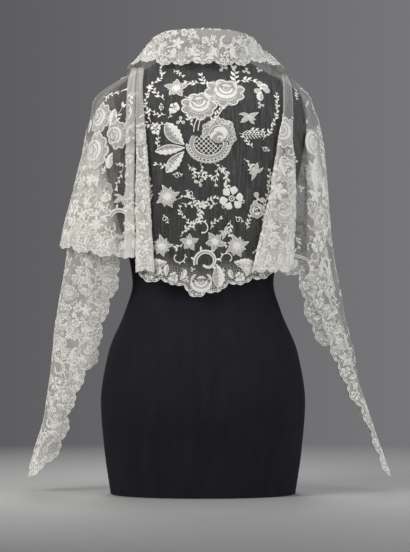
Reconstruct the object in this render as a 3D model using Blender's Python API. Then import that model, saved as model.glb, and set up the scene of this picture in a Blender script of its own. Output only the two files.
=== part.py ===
"""A lace shawl worn over a limbless dress form.

The shawl is a wide shaped mantle of net. Its top edge is turned down round the neck as a collar, the
back ends in a shallow point at the waist, folds hang from the shoulders, and each front is drawn out
into a long tapering end. The origin is the middle of the form's flat base, +Z is up, the wearer faces
-Y, and the wearer's left is +X. Sizes are in millimetres. Across is along X, and reach is along Y.
"""

import math

import bmesh
import bpy
import numpy as np
from mathutils.geometry import delaunay_2d_cdt

MM = 0.001  # Blender's metres for each millimetre
CLOTH = 1.2  # thickness of a lace wall
SEAM = 0.5  # gap left between two stretches of cloth where they meet
CELL = (23.0, 23.0)  # spacing of a wall's inner points
BACK_CELL = (15.0, 20.0)  # the same on the back panel
FOLD_CELL = (1 / 12, 26.0)  # the same on a hanging fold: share of its girth, length down it
COLLAR_CELL = (18.0, 7.5)  # the same on the collar
EDGE_SPARE = 0.53  # least distance from a wall's inner points to its edge, in cells
SLOPE_STEP = 0.02  # share of a cell used to measure a surface's slope
SHOULDER = (625, 2.0)  # height where the shoulders start to round, and how much closer points lie above it
SEAM_STEP = 24.0  # spacing of a seam's points
SEAM_TURN = 1.2  # degrees round the neck from a back seam to the first edge point on each side of it

# ---------------------------------------------------------------- sizes of the dress form
FORM_ROWS = (  # height, half width, reach of the back, reach of the front, squareness
    (0, 152, 108, 98, 2.2),
    (70, 162, 120, 104, 2.2),
    (150, 168, 128, 106, 2.2),
    (230, 156, 118, 102, 2.2),
    (300, 128, 94, 94, 2.2),
    (345, 116, 80, 88, 2.2),
    (387, 122, 84, 96, 2.25),
    (440, 138, 93, 110, 2.3),
    (490, 150, 100, 123, 2.3),
    (533, 160, 103, 126, 2.35),
    (575, 167, 103, 118, 2.35),
    (608, 171, 99, 104, 2.35),
    (632, 169, 93, 90, 2.3),
    (646, 165, 88, 80, 2.3),
    (660, 154.6, 80, 71, 2.25),
    (674, 137.7, 71, 64, 2.2),
    (688, 111.5, 62, 60, 2.1),
    (701, 89, 54, 57, 2.0),
    (716, 68, 48, 54, 2.0),
    (738, 57, 45, 53, 2.0),
)
FORM_RINGS = 24
FORM_SPOKES = 30
RING_CROWDING = 1.35  # above 1, rings crowd towards the shoulders
NECK_RIM = (2.0, 0.9)  # rise of the neck's rounded rim, and the share of the width left there

# ---------------------------------------------------------------- sizes of the mantle
MANTLE_ROWS = (  # height, reach to the left, to the right, to the back, to the front
    (720, 72, 72, 57, 64),
    (706, 93, 95, 62, 68),
    (690, 119, 122, 68, 74),
    (677, 141, 143, 75, 79),
    (665, 160, 157, 83, 85),
    (652, 175, 167, 91, 92),
    (640, 181, 172, 98, 101),
    (620, 185, 176, 105, 114),
    (592, 192, 183, 110, 128),
    (561, 198, 189, 112, 138),
    (497, 213, 195, 113, 147),
    (411, 232, 201, 110, 147),
    (340, 240, 206, 106, 145),
    (300, 243, 208, 104, 144),
)
MANTLE_SQUARE = 2.3
NECK_LINE = (  # turn from the side towards the back in degrees, height of the neck seam
    (90, 713),
    (62, 712),
    (38, 709),
    (18, 706),
    (0, 702),
    (-20, 696),
    (-38, 684),
    (-52, 664),
    (-62, 636),
    (-68, 604),
)
NECK_POINTS = 21  # points along the neck seam of a stretch over a shoulder
BACK_NECK_POINTS = 9  # points along each half of the back's neck seam
UNDER_DROP = 6  # how far below the neck seam an under layer stops

# Rows of a side body: height, outer place of its fold, middle of its curve across, middle of its curve
# along Y, reach from there to the back, reach to the front.
FRONT_LEFT_ROWS = (
    (720, 68, 0, 0, 53, 60),
    (706, 88, 0, 0, 58, 64),
    (690, 113, 0, 0, 64, 70),
    (677, 136, 0, 0, 71, 75),
    (665, 155, 0, 0, 78, 81),
    (652, 167.5, 0, 0, 86, 88),
    (640, 175, 0, 0, 92, 97),
    (592, 186, 0, 0, 104, 122),
    (561, 191, 0, 0, 104, 130),
    (497, 206, 10, -2, 101, 138),
    (411, 220, 40, -8, 86, 135.4),
    (357, 228, 70, -14, 76, 124),
    (316, 236, 95, -20, 66, 110),
    (269, 244, 125, -26, 56, 94),
    (202, 251, 165, -32, 44, 72),
    (163, 257, 187, -35, 38, 60),
    (122, 263, 207, -37, 32, 50),
    (70, 279, 230, -39, 26, 38),
    (20, 292, 245, -40, 20, 30),
)
FRONT_RIGHT_ROWS = (
    (720, 82, 0, 0, 64, 71),
    (706, 104, 0, 0, 69, 75),
    (690, 130, 0, 0, 75, 81),
    (677, 150, 0, 0, 82, 86),
    (663, 167, 0, 0, 92, 94),
    (652, 176, 0, 0, 99, 101),
    (640, 180, 0, 0, 105, 110),
    (606, 191, 0, 0, 115, 130),
    (565, 199, 0, 0, 119, 146),
    (533, 202, 0, 0, 121, 152),
    (479, 206, 6, 0, 121, 156),
    (422, 210, 20, -3, 118, 154),
    (375, 216, 45, -8, 112, 146),
    (339, 224, 72, -14, 100, 134),
    (274, 238, 120, -24, 78, 104),
    (230, 250, 150, -30, 62, 84),
    (187, 256, 178, -34, 48, 68),
    (147, 269, 205, -37, 40, 56),
    (91, 288, 238, -40, 30, 42),
    (20, 314, 272, -42, 20, 30),
)
SIDE_RIGHT_TAIL = (  # the right under layer below the waist, same columns
    (340, 214, 40, -8, 96, 134),
    (290, 226, 85, -16, 74, 110),
    (230, 241, 140, -28, 52, 76),
)
SIDE_SQUARE = 2.15
RIPPLES_LEFT = ((-84, 20, 6, 600), (-26, 17, 5, 540), (30, 17, 5, 560), (82, 15, 4, 600))
RIPPLES_RIGHT = ((-90, 20, 6, 600), (-30, 18, 5, 540), (30, 16, 4, 540))  # along, width, depth, top

# Scallops: width and depth of the large lobes, width and depth of the small scallops on them.
HEM_SCALLOPS = (42, 6.5, 12.5, 2.6)
END_SCALLOPS = (40, 6.0, 12.5, 2.6)
COLLAR_SCALLOPS = (33, 5.5, 12, 2.4)
FOLD_SCALLOPS = (30, 4.0, 12, 2.2)
SCALLOP_STEPS = 3  # straight steps that draw one small scallop
SCALLOP_FADE = 40.0  # height over which scallops fade out where an edge turns into a fold

# The back: where the hem's lobes spring from, as across, height.
BACK_HEM = (
    (106, 366),
    (84, 355),
    (50, 352),
    (26, 341),
    (6, 330),
    (-28, 342),
    (-52, 350),
    (-84, 356),
    (-112, 370),
)
BACK_FOLDS = (  # across at the top, across at the hem, width, depth, height where it fades out
    (88, 66, 10, 4.0, 690),
    (70, 48, 9, 2.6, 640),
    (-96, -66, 10, 3.4, 670),
    (-62, -40, 12, 2.0, 600),
    (18, 10, 14, 1.4, 700),
)
SEAM_LEFT = ((700, 101), (600, 101), (350, 104))  # height, across, of the seam under the left folds
SEAM_RIGHT = ((700, -113), (660, -128), (560, -124), (350, -114))

# The hanging folds: height, outer edge, inner edge.
FOLD_LEFT_OUTER = (
    (690, 114, 105.6),
    (660, 121, 108.6),
    (620, 122, 108.4),
    (560, 122, 108),
    (480, 124, 109.4),
    (392, 126, 108.6),
)
FOLD_LEFT_INNER = (
    (690, 102.4, 94),
    (660, 105.2, 96),
    (620, 105.2, 93),
    (560, 104.8, 88),
    (480, 106.4, 83),
    (369, 105.4, 76),
)
FOLD_RIGHT = (
    (680, -134, -126),
    (656, -141, -128),
    (620, -142, -127),
    (580, -141, -120),
    (536, -145, -113),
    (480, -147, -104),
    (424, -145, -91),
    (368, -142, -78),
)
FOLD_GIRTH = 2.3  # a fold's width laid flat, as a multiple of its width at the foot
FOLD_HEIGHT = 8.6  # how far a fold's top layer stands off the mantle
FOLD_RETURN = 9.0  # how far its edges turn back under it
FOLD_CLEARANCE = 2.6  # from the mantle's middle surface to the returned edge's
RETURN_SHARE = 0.62  # most of a fold's half width that its turned edge may take

# Outlines of the side stretches. Seen from behind: across, height. In front: length round, height.
SIDE_LEFT_HEM = ((106, 394), (140, 394), (170, 398), (200, 404), (222, 410))
SIDE_LEFT_HEM_FRONT = ((0, 414), (-44, 412), (-88, 414), (-120, 430))
SIDE_LEFT_FRONT = ((-146, 500), (-166, 560))
SIDE_RIGHT_HEM = ((-116, 370), (-142, 366), (-158, 358), (-166, 328), (-175, 290), (-188, 264), (-206, 246))
SIDE_RIGHT_HEM_FRONT = ((-20, 244), (-50, 262), (-84, 310), (-112, 390))
SIDE_RIGHT_FRONT = ((-140, 470), (-166, 560))
LEFT_BACK_EDGE = (  # across, height, from the tip up
    (280, 34),
    (262, 48),
    (248, 62),
    (236, 84),
    (228, 108),
    (224, 134),
    (210, 166),
    (198, 196),
    (178, 224),
    (172, 262),
    (158, 310),
    (142, 352),
    (142, 400),
    (140, 500),
    (136, 600),
)
LEFT_FRONT_EDGE = (  # length round, height, from the tip up
    (-12, 38),
    (-26, 80),
    (-40, 130),
    (-58, 190),
    (-84, 270),
    (-112, 350),
    (-138, 430),
    (-160, 500),
    (-181, 560),
)
RIGHT_BACK_EDGE = (
    (-304, 36),
    (-290, 66),
    (-278, 100),
    (-262, 136),
    (-246, 162),
    (-232, 196),
    (-218, 226),
    (-208, 262),
    (-194, 296),
    (-178, 326),
    (-170, 360),
    (-168, 420),
    (-168, 500),
    (-167, 570),
    (-165, 620),
    (-160, 654),
)
RIGHT_FRONT_EDGE = (
    (-12, 40),
    (-22, 80),
    (-36, 130),
    (-56, 190),
    (-84, 270),
    (-112, 350),
    (-138, 430),
    (-160, 500),
    (-181, 560),
)
TIP = (0, 28)  # length round and height of each front's point
FRONT_PLAIN_ABOVE = (410, 340)  # height above which the left and right fronts' back edges are plain folds
FRONT_TURNS = (14, -4)  # degrees towards the back where the left and right fronts start at the neck seam

# The collar: share of its length from the middle of the back, turn of its foot on the neck seam, how far
# out and how far up its fold is from there, the length of its fall, the fall's lean in degrees.
COLLAR_ROWS = (
    (0.00, 90, 16, 43, 53, 2),
    (0.20, 60, 14, 42, 53, 4),
    (0.38, 34, 6, 37, 37, 14),
    (0.52, 12, 5, 23, 25, 34),
    (0.66, -10, 4, 16, 20, 54),
    (0.78, -30, 4, 13, 18, 58),
    (0.89, -49, 4, 12, 16, 56),
    (1.00, -67, 4, 11, 14, 50),
)
COLLAR_RIGHT_RISE = -3.0  # how much higher the fold's right end is than its left
COLLAR_CROSSING = (0.5, 0.6)  # share where its foot steps from the right side onto the right front
COLLAR_HALF = 250.0  # length of the collar's fold from the middle of the back to each end
COLLAR_BEND = 2.8  # radius of its turned fold
COLLAR_STAND = 40.0  # length of its stand on the flat
COLLAR_LIFTS = (1.5, 1.5, 2.1)  # from the neck seam of the left, the right and the right front to its foot
COLLAR_CROWDING = (13.0, 3.5)  # how much closer points lie at its fold, and over what length
COLLAR_END_LEVELS = tuple(range(-35, 28, 7))  # spread-out widths of the points up each end

FORM_COLOUR = (0.018, 0.02, 0.032, 1)
LACE_COLOUR = (0.82, 0.80, 0.74, 1)


# ---------------------------------------------------------------- curves
def smooth(table, place):
    """Each column of a table at the places given, on a curve that never swings past its rows."""
    rows = np.array(sorted(table), float)
    at, values = rows[:, 0], rows[:, 1:]
    gap = np.diff(at)[:, None]
    slope = np.diff(values, axis=0) / gap
    lean = np.zeros_like(values)
    same = slope[:-1] * slope[1:] > 0
    total = np.where(same, slope[:-1] + slope[1:], 1)
    lean[1:-1] = np.where(same, 2 * slope[:-1] * slope[1:] / total, 0)
    lean[0], lean[-1] = slope[0], slope[-1]
    place = np.clip(np.asarray(place, float), at[0], at[-1])
    k = np.clip(np.searchsorted(at, place) - 1, 0, len(at) - 2)
    t = ((place - at[k]) / gap[k, 0])[..., None]
    first, last, width = values[k], values[k + 1], gap[k]
    return (
        first * (1 + 2 * t) * (1 - t) ** 2
        + last * t * t * (3 - 2 * t)
        + width * (lean[k] * t * (1 - t) ** 2 + lean[k + 1] * t * t * (t - 1))
    )


def curve_through(points, step):
    """Points about one step apart on a smooth curve through the given points."""
    points = np.asarray(points, float)
    length = np.concatenate([[0], np.cumsum(np.linalg.norm(np.diff(points, axis=0), axis=1))])
    count = max(2, int(round(length[-1] / step)) + 1)
    at = np.linspace(0, length[-1], count)
    padded = np.vstack([2 * points[0] - points[1], points, 2 * points[-1] - points[-2]])
    k = np.clip(np.searchsorted(length, at, side="right") - 1, 0, len(points) - 2)
    t = ((at - length[k]) / (length[k + 1] - length[k]))[:, None]
    a, b, c, d = padded[k], padded[k + 1], padded[k + 2], padded[k + 3]
    return 0.5 * (2 * b + (c - a) * t + (2 * a - 5 * b + 4 * c - d) * t**2 + (3 * b - a - 3 * c + d) * t**3)


def scalloped(points, scallops, outward=1, plain_above=math.inf):
    """An edge through the points, its lobes and small scallops standing out to its left below a height."""
    lobe, lobe_depth, small, small_depth = scallops
    base = curve_through(points, 1.0)
    along = np.concatenate([[0], np.cumsum(np.linalg.norm(np.diff(base, axis=0), axis=1))])
    lobes = max(1, round(along[-1] / lobe))
    smalls = lobes * max(1, round(along[-1] / lobes / small))
    at = np.linspace(0, along[-1], smalls * SCALLOP_STEPS + 1)
    edge = np.stack([np.interp(at, along, base[:, i]) for i in (0, 1)], axis=1)
    run = np.gradient(edge, axis=0)
    run /= np.linalg.norm(run, axis=1, keepdims=True)
    share = at / along[-1]
    out = lobe_depth * abs(np.sin(math.pi * lobes * share)) + small_depth * abs(np.sin(math.pi * smalls * share))
    if plain_above < math.inf:
        out *= np.clip((plain_above - edge[:, 1]) / SCALLOP_FADE, 0, 1)
    return edge + outward * np.stack([-run[:, 1], run[:, 0]], axis=1) * out[:, None]


def crowded(height):
    """Heights stretched over the shoulders, so that even steps lie closer together there."""
    start, more = SHOULDER
    return height + more * np.clip(height - start, 0, None)


def uncrowded(level):
    start, more = SHOULDER
    return np.where(level > start, start + (level - start) / (1 + more), level)


# ---------------------------------------------------------------- surfaces
def on_ring(turn, side, back, front, square):
    """Across and Y of a ring's point, for a turn from its side towards its back."""
    cosine, sine = np.cos(turn), np.sin(turn)
    reach = np.where(sine > 0, back, front)
    x = side * np.abs(cosine) ** (2 / square) * np.sign(cosine)
    return x, reach * np.abs(sine) ** (2 / square) * np.sign(sine)


class Drape:
    """One side of a body lofted through rings, unrolled: read by the length round a ring from its outer
    place, positive towards the back, and by the height."""

    TURNS = np.linspace(-math.pi / 2, math.pi / 2, 361)
    STEP, LEVEL, LONGEST = 2.0, 3.0, 420.0

    def __init__(self, rows, sign, square, ripples=()):
        self.rows, self.sign, self.square = rows, sign, square
        self.low, self.high = rows[-1][0], rows[0][0]
        self.levels = np.arange(self.low, self.high + self.LEVEL, self.LEVEL)
        self.lengths = np.arange(-self.LONGEST, self.LONGEST + self.STEP, self.STEP)
        self.table = np.empty((len(self.levels), len(self.lengths), 2))
        for i, level in enumerate(self.levels):
            place, x, y = self.ring(level)
            lift = sum(
                depth * np.exp(-(((place - spot) / width) ** 2)) * np.clip((top - level) / 160, 0, 1)
                for spot, width, depth, top in ripples
            )
            out_x, out_y = np.gradient(y, place), -np.gradient(x, place)
            self.table[i, :, 0] = sign * np.interp(self.lengths, place, x + out_x * lift)
            self.table[i, :, 1] = np.interp(self.lengths, place, y + out_y * lift)

    def ring(self, level):
        """Length round, across and Y of the ring at a height, running on straight past its middle."""
        outer, centre, middle, back, front = smooth(self.rows, level)
        x, y = on_ring(self.TURNS, outer - centre, back, front, self.square)
        x = np.concatenate([[x[0] - self.LONGEST], x, [x[-1] - self.LONGEST]]) + centre
        y = np.concatenate([[y[0]], y, [y[-1]]]) + middle
        place = np.concatenate([[0], np.cumsum(np.hypot(np.diff(x), np.diff(y)))])
        return place - place[len(place) // 2], x, y

    def at(self, places):
        along, height = places[:, 0], places[:, 1]
        i = np.clip((height - self.low) / self.LEVEL, 0, len(self.table) - 1.001)
        j = np.clip((along + self.LONGEST) / self.STEP, 0, len(self.lengths) - 1.001)
        i0, j0 = i.astype(int), j.astype(int)
        s, t = (i - i0)[:, None], (j - j0)[:, None]
        near = self.table[i0, j0] * (1 - t) + self.table[i0, j0 + 1] * t
        far = self.table[i0 + 1, j0] * (1 - t) + self.table[i0 + 1, j0 + 1] * t
        return np.column_stack([near * (1 - s) + far * s, height])

    def from_behind(self, across, height):
        """Length round and height of a place on the back half given as it is seen from behind."""
        place, x, _ = self.ring(height)
        half = place >= 0
        return float(np.interp(-abs(across), -x[half], place[half])), height

    def at_turn(self, turn, height):
        """Length round and height of a place given by its turn from the side."""
        place = self.ring(height)[0][1:-1]
        return float(np.interp(math.radians(turn), self.TURNS, place)), height


def mantle_rows(sign):
    return [(z, left if sign > 0 else right, 0, 0, back, front) for z, left, right, back, front in MANTLE_ROWS]


def back_depth(across, height):
    """How far back the mantle lies at a place on it seen from behind."""
    left, right, back, _ = smooth(MANTLE_ROWS, height).T
    share = np.clip(np.abs(across) / np.where(across > 0, left, right), 0, 0.998)
    return back * (1 - share**MANTLE_SQUARE) ** (1 / MANTLE_SQUARE)


def back_folds(across, height):
    """How far the soft upright folds lift the back off its body, deepest at the hem."""
    lift = np.zeros_like(across)
    low, high = BACK_HEM[4][1], NECK_LINE[0][1]
    for top, hem, width, depth, fade in BACK_FOLDS:
        middle = hem + (top - hem) * (height - low) / (high - low)
        strength = np.clip((fade - height) / (fade - low), 0, 1) ** 0.7
        lift += depth * strength * np.exp(-(((across - middle) / width) ** 2))
    return lift


def on_back(places):
    across, height = places[:, 0], places[:, 1]
    return np.column_stack([across, back_depth(across, height) + back_folds(across, height), height])


def fold_lengths(rows):
    """Heights down the middle of a hanging fold, and the length down to each."""
    heights = np.linspace(rows[0][0], rows[-1][0] - 20, 200)
    x = smooth(rows, heights).mean(axis=1)
    line = np.column_stack([x, back_depth(x, heights), heights])
    return heights, np.concatenate([[0], np.cumsum(np.linalg.norm(np.diff(line, axis=0), axis=1))])


def on_fold(rows):
    """A flattened tube open along its back: its top layer and an edge turned under on each side."""
    heights, lengths_down = fold_lengths(rows)

    def at(places):
        share, height = places[:, 0], np.interp(-places[:, 1], lengths_down, heights)
        outer, inner = smooth(rows, height).T
        half = np.abs(outer - inner) / 2
        turned = np.minimum(FOLD_RETURN, half * RETURN_SHARE)
        bend = (FOLD_HEIGHT - FOLD_CLEARANCE) / 2
        arc, straight = math.pi * bend, 2 * (half - bend)
        stretches = (turned, arc, straight, arc, turned)
        run = share * sum(stretches)
        lengths = [np.broadcast_to(s, run.shape) for s in stretches]
        starts = np.cumsum([np.zeros_like(run), *lengths[:-1]], axis=0)
        first, second = (np.clip((run - starts[i]) / bend, 0, math.pi) for i in (1, 3))
        across = -half + bend + lengths[0] - np.clip(run, None, lengths[0])
        across = across - bend * np.sin(first) + np.clip(run - starts[2], 0, straight)
        across = across + bend * np.sin(second) - np.clip(run - starts[4], 0, None)
        rise = bend * (1 - np.cos(first)) - bend * (1 - np.cos(second))
        spots = np.column_stack([(outer + inner) / 2 + np.sign(inner - outer) * across, height])
        slope = [(on_back(spots + step) - on_back(spots - step))[:, 1] / 2 for step in ([1, 0], [0, 1])]
        normal = np.column_stack([-slope[0], np.ones_like(height), -slope[1]])
        normal /= np.linalg.norm(normal, axis=1, keepdims=True)
        return on_back(spots) + normal * (FOLD_CLEARANCE + rise)[:, None]

    return at


class Collar:
    """A strip bent over its fold, read by the length round the neck and by the length from the fold,
    negative down the stand and positive down the fall."""

    def __init__(self, left_body, right_body, front_right):
        half = np.linspace(0, 1, 201)
        turn, off, rise, fall, lean = smooth(COLLAR_ROWS, half).T
        height = smooth(NECK_LINE, turn)[:, 0]
        feet = []
        for body, lift in zip((left_body, right_body, front_right), COLLAR_LIFTS):
            spots = np.array([body.at_turn(t, z) for t, z in zip(turn, height)])
            run = np.gradient(spots, axis=0)
            away = np.column_stack([run[:, 1], -run[:, 0]]) / np.linalg.norm(run, axis=1, keepdims=True)
            feet.append(body.at(spots + away * lift))
        low, high = COLLAR_CROSSING
        outer = np.clip((half - low) / (high - low), 0, 1)[:, None]
        sides = (feet[0], 1, 0.0), (feet[1] * (1 - outer) + feet[2] * outer, -1, COLLAR_RIGHT_RISE)
        columns = []
        for foot, sign, more in sides:
            run = np.gradient(foot[:, :2], axis=0)
            run /= sign * np.linalg.norm(run, axis=1, keepdims=True)
            out = np.column_stack([-run[:, 1], run[:, 0], np.zeros(len(run))])
            up = np.column_stack([np.zeros((len(run), 2)), rise + more * half])
            columns.append(np.column_stack([foot, foot + out * off[:, None] + up, out, fall, np.radians(lean)]))
        self.grid = np.concatenate([-half[::-1], half[1:]])
        self.columns = np.vstack([columns[1][::-1], columns[0][1:]])

    def values(self, along):
        share = along / COLLAR_HALF
        return np.column_stack([np.interp(share, self.grid, column) for column in self.columns.T])

    def fall(self, along):
        return self.values(along)[:, 9]

    def at(self, places):
        values, down = self.values(places[:, 0]), places[:, 1]
        foot, fold, out, lean = values[:, 0:3], values[:, 3:6], values[:, 6:9], values[:, 10:11]
        up = np.array([0, 0, 1.0])
        bend, quarter = COLLAR_BEND, COLLAR_BEND * math.pi / 2
        turn = np.clip(down / bend, -math.pi / 2, math.pi / 2)[:, None]
        over = fold + out * bend * np.sin(turn) - up * bend * (1 - np.cos(turn))
        past = np.clip(down - quarter, 0, None)[:, None]
        over = over + past * (out * np.sin(lean) - up * np.cos(lean))
        share_down = np.clip((-down - quarter) / (COLLAR_STAND - quarter), 0, None)[:, None]
        return over + share_down * (foot - (fold - out * bend - up * bend))


# ---------------------------------------------------------------- solids
def new_object(name, points, faces, colour, roughness):
    mesh = bpy.data.meshes.new(name)
    mesh.from_pydata([tuple(p) for p in np.asarray(points) * MM], [], faces)
    shaped = bmesh.new()
    shaped.from_mesh(mesh)
    bmesh.ops.recalc_face_normals(shaped, faces=shaped.faces)
    if shaped.calc_volume(signed=True) < 0:
        bmesh.ops.reverse_faces(shaped, faces=shaped.faces)
    shaped.to_mesh(mesh)
    shaped.free()
    mesh.shade_smooth()
    mesh.set_sharp_from_angle(angle=math.radians(40))
    obj = bpy.data.objects.new(name, mesh)
    bpy.context.scene.collection.objects.link(obj)
    material = bpy.data.materials.new(name)
    material.use_nodes = True
    shader = material.node_tree.nodes["Principled BSDF"]
    shader.inputs["Base Color"].default_value = colour
    shader.inputs["Roughness"].default_value = roughness
    shader.inputs["Metallic"].default_value = 0.0
    mesh.materials.append(material)
    return obj


def inner_points(outline, cell):
    """Grid points inside an outline, none much nearer its edge than half a cell."""
    low, high = outline.min(axis=0), outline.max(axis=0)
    counts = np.maximum(np.round((high - low) / cell), 1).astype(int)
    grid = [np.linspace(low[i], high[i], counts[i] + 1) for i in (0, 1)]
    spots = np.array([(a, b) for a in grid[0] for b in grid[1]])
    inside = np.zeros(len(spots), bool)
    for (x0, y0), (x1, y1) in zip(outline, np.roll(outline, -1, axis=0)):
        if y0 != y1:
            crosses = (y0 > spots[:, 1]) != (y1 > spots[:, 1])
            inside ^= crosses & (spots[:, 0] < (x1 - x0) * (spots[:, 1] - y0) / (y1 - y0) + x0)
    away = (((spots[:, None] - outline[None]) / cell) ** 2).sum(axis=2).min(axis=1) > EDGE_SPARE**2
    return spots[inside & away]


def wall(name, outline, surface, cell=CELL):
    """A cloth wall: a flat outline filled with triangles and laid on a surface, both its sides and its rim."""
    outline, cell = np.asarray(outline, float), np.asarray(cell, float)
    spots = np.vstack([outline, inner_points(outline, cell)])
    ring = list(range(len(outline)))
    found, _, triangles, *_ = delaunay_2d_cdt([tuple(p) for p in spots / cell], [], [ring], 1, 1e-5)
    flat = np.array([tuple(p) for p in found]) * cell
    middle = surface(flat)
    step = SLOPE_STEP * cell
    side = surface(flat + [step[0], 0]) - surface(flat - [step[0], 0])
    up = surface(flat + [0, step[1]]) - surface(flat - [0, step[1]])
    normal = np.cross(side, up)
    normal /= np.linalg.norm(normal, axis=1, keepdims=True)
    count = len(flat)
    points = np.vstack([middle + normal * CLOTH / 2, middle - normal * CLOTH / 2])
    faces = [tuple(t) for t in triangles] + [tuple(count + i for i in reversed(t)) for t in triangles]
    edges = {(a, b) for t in triangles for a, b in zip(t, (*t[1:], t[0]))}
    faces += [(b, a, count + a, count + b) for a, b in sorted(edges) if (b, a) not in edges]
    return new_object(name, points, faces, LACE_COLOUR, 0.85)


def upright_wall(name, outline, surface, cell=CELL):
    """A wall whose outline's second column is the height, its points closer together over the shoulders."""
    outline = np.column_stack([outline[:, 0], crowded(outline[:, 1])])
    wall(name, outline, lambda places: surface(np.column_stack([places[:, 0], uncrowded(places[:, 1])])), cell)


def dress_form():
    """The form: a solid lofted through its rings, with a flat base and a flat neck."""
    low, high = FORM_ROWS[0][0], FORM_ROWS[-1][0]
    levels = low + (high - low) * (1 - (1 - np.linspace(0, 1, FORM_RINGS)) ** RING_CROWDING)
    turns = np.linspace(0, 2 * math.pi, FORM_SPOKES, endpoint=False)
    rows = [(z, *values) for z, values in zip(levels, smooth(FORM_ROWS, levels))]
    rise, left = NECK_RIM
    rows.append((high + rise, *(v * left for v in rows[-1][1:4]), rows[-1][4]))
    points = []
    for z, half, back, front, square in rows:
        x, y = on_ring(turns, half, back, front, square)
        points += [(a, b, z) for a, b in zip(x, y)]
    faces = []
    for k in range(len(rows) - 1):
        for i in range(FORM_SPOKES):
            j = (i + 1) % FORM_SPOKES
            a, b = k * FORM_SPOKES, (k + 1) * FORM_SPOKES
            faces.append((a + i, a + j, b + j, b + i))
    faces.append(tuple(reversed(range(FORM_SPOKES))))
    faces.append(tuple(range(len(points) - FORM_SPOKES, len(points))))
    return new_object("dress_form", points, faces, FORM_COLOUR, 0.9)


# ---------------------------------------------------------------- stretches of the shawl
def neck_turn_at(body, seam):
    """The turn where a back seam meets the neck seam on a body."""
    turns = np.linspace(1, 60, 237)
    heights = smooth(NECK_LINE, turns)[:, 0]
    spots = np.array([body.at_turn(t, z) for t, z in zip(turns, heights)])
    miss = np.abs(body.at(spots)[:, 0] - smooth(seam, heights)[:, 0])
    return float(turns[np.argmin(miss)])


def neck_edge(body, start, end, count, drop=0.0):
    """Places along the neck seam on a body between two turns."""
    turns = np.linspace(start, end, count)
    return [body.at_turn(t, z - drop) for t, z in zip(turns, smooth(NECK_LINE, turns)[:, 0])]


def seam_line(seam, high, low):
    """Points down a seam, at the same heights on both its sides but for its ends."""
    levels = np.arange(math.floor(crowded(high) / SEAM_STEP), math.ceil(crowded(low) / SEAM_STEP) - 1, -1)
    heights = uncrowded(levels * SEAM_STEP)
    heights = [high, *(float(z) for z in heights if low + 3 < z < high - 1.5), low]
    return list(zip(smooth(seam, heights)[:, 0], heights))


def back_panel(left_body, right_body):
    top = []
    for body, seam in ((right_body, SEAM_RIGHT), (left_body, SEAM_LEFT)):
        turn = neck_turn_at(body, seam) + SEAM_TURN
        spots = np.array(neck_edge(body, turn, 90, BACK_NECK_POINTS))
        half = body.at(spots)[:, [0, 2]]
        top.append(half if body.sign < 0 else half[::-1])
    top = np.vstack([top[0], top[1][1:]])
    left = np.array(seam_line(SEAM_LEFT, top[-1][1], BACK_HEM[0][1])) - [SEAM / 2, 0]
    right = np.array(seam_line(SEAM_RIGHT, top[0][1], BACK_HEM[-1][1])) + [SEAM / 2, 0]
    top[-1], top[0] = left[0], right[0]
    hem = scalloped([left[-1], *BACK_HEM[1:-1], right[-1]], HEM_SCALLOPS)
    upright_wall("back_panel", np.vstack([left[:-1], hem, right[::-1][1:-1], top[:-1]]), on_back, BACK_CELL)


def hanging_fold(name, rows):
    """One fold, its top edge straight and its foot scalloped."""
    heights, lengths_down = fold_lengths(rows)
    low = -float(np.interp(-rows[-1][0], -heights, lengths_down))
    width = FOLD_GIRTH * abs(rows[-1][1] - rows[-1][2])
    foot = scalloped([(width, low), (width / 2, low), (0, low)], FOLD_SCALLOPS)
    top = [(share * width, 0.0) for share in np.linspace(0, 1, 11)]
    down = np.linspace(0, low, 15)[1:-1]
    right_side, left_side = [(width, d) for d in down], [(0.0, d) for d in down[::-1]]
    wall(name, np.vstack([top, right_side, foot, left_side]) / [width, 1], on_fold(rows), FOLD_CELL)


def side_stretch(name, body, seam, hem, hem_front, front, end_turn, drop=0.0):
    """A stretch from the back seam round the shoulder to the front."""
    turn = neck_turn_at(body, seam) - SEAM_TURN
    top = neck_edge(body, turn, end_turn, NECK_POINTS, drop)
    line = seam_line(seam, top[0][1], hem[0][1])
    back = [body.from_behind(x + body.sign * SEAM / 2, z) for x, z in line]
    foot = [back[-1], *(body.from_behind(x, z) for x, z in hem[1:]), *hem_front, *front, top[-1]]
    edge = scalloped(foot, HEM_SCALLOPS)
    outline = np.vstack([[top[0]], back[1:-1], edge, top[::-1][1:-1]])
    upright_wall(name, outline, body.at)


def long_front(name, body, back_edge, plain_above, front_edge, top_turns, drop=0.0):
    """A front from the neck seam to its tip, scalloped down both edges."""
    top = neck_edge(body, *top_turns, NECK_POINTS, drop)
    down = [body.from_behind(x, z) for x, z in back_edge]
    inner = scalloped([top[0], *down[::-1], TIP], END_SCALLOPS, 1, plain_above)
    outer = scalloped([TIP, *front_edge, top[-1]], END_SCALLOPS)
    upright_wall(name, np.vstack([inner, outer[1:], top[::-1][1:-1]]), body.at)


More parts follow.
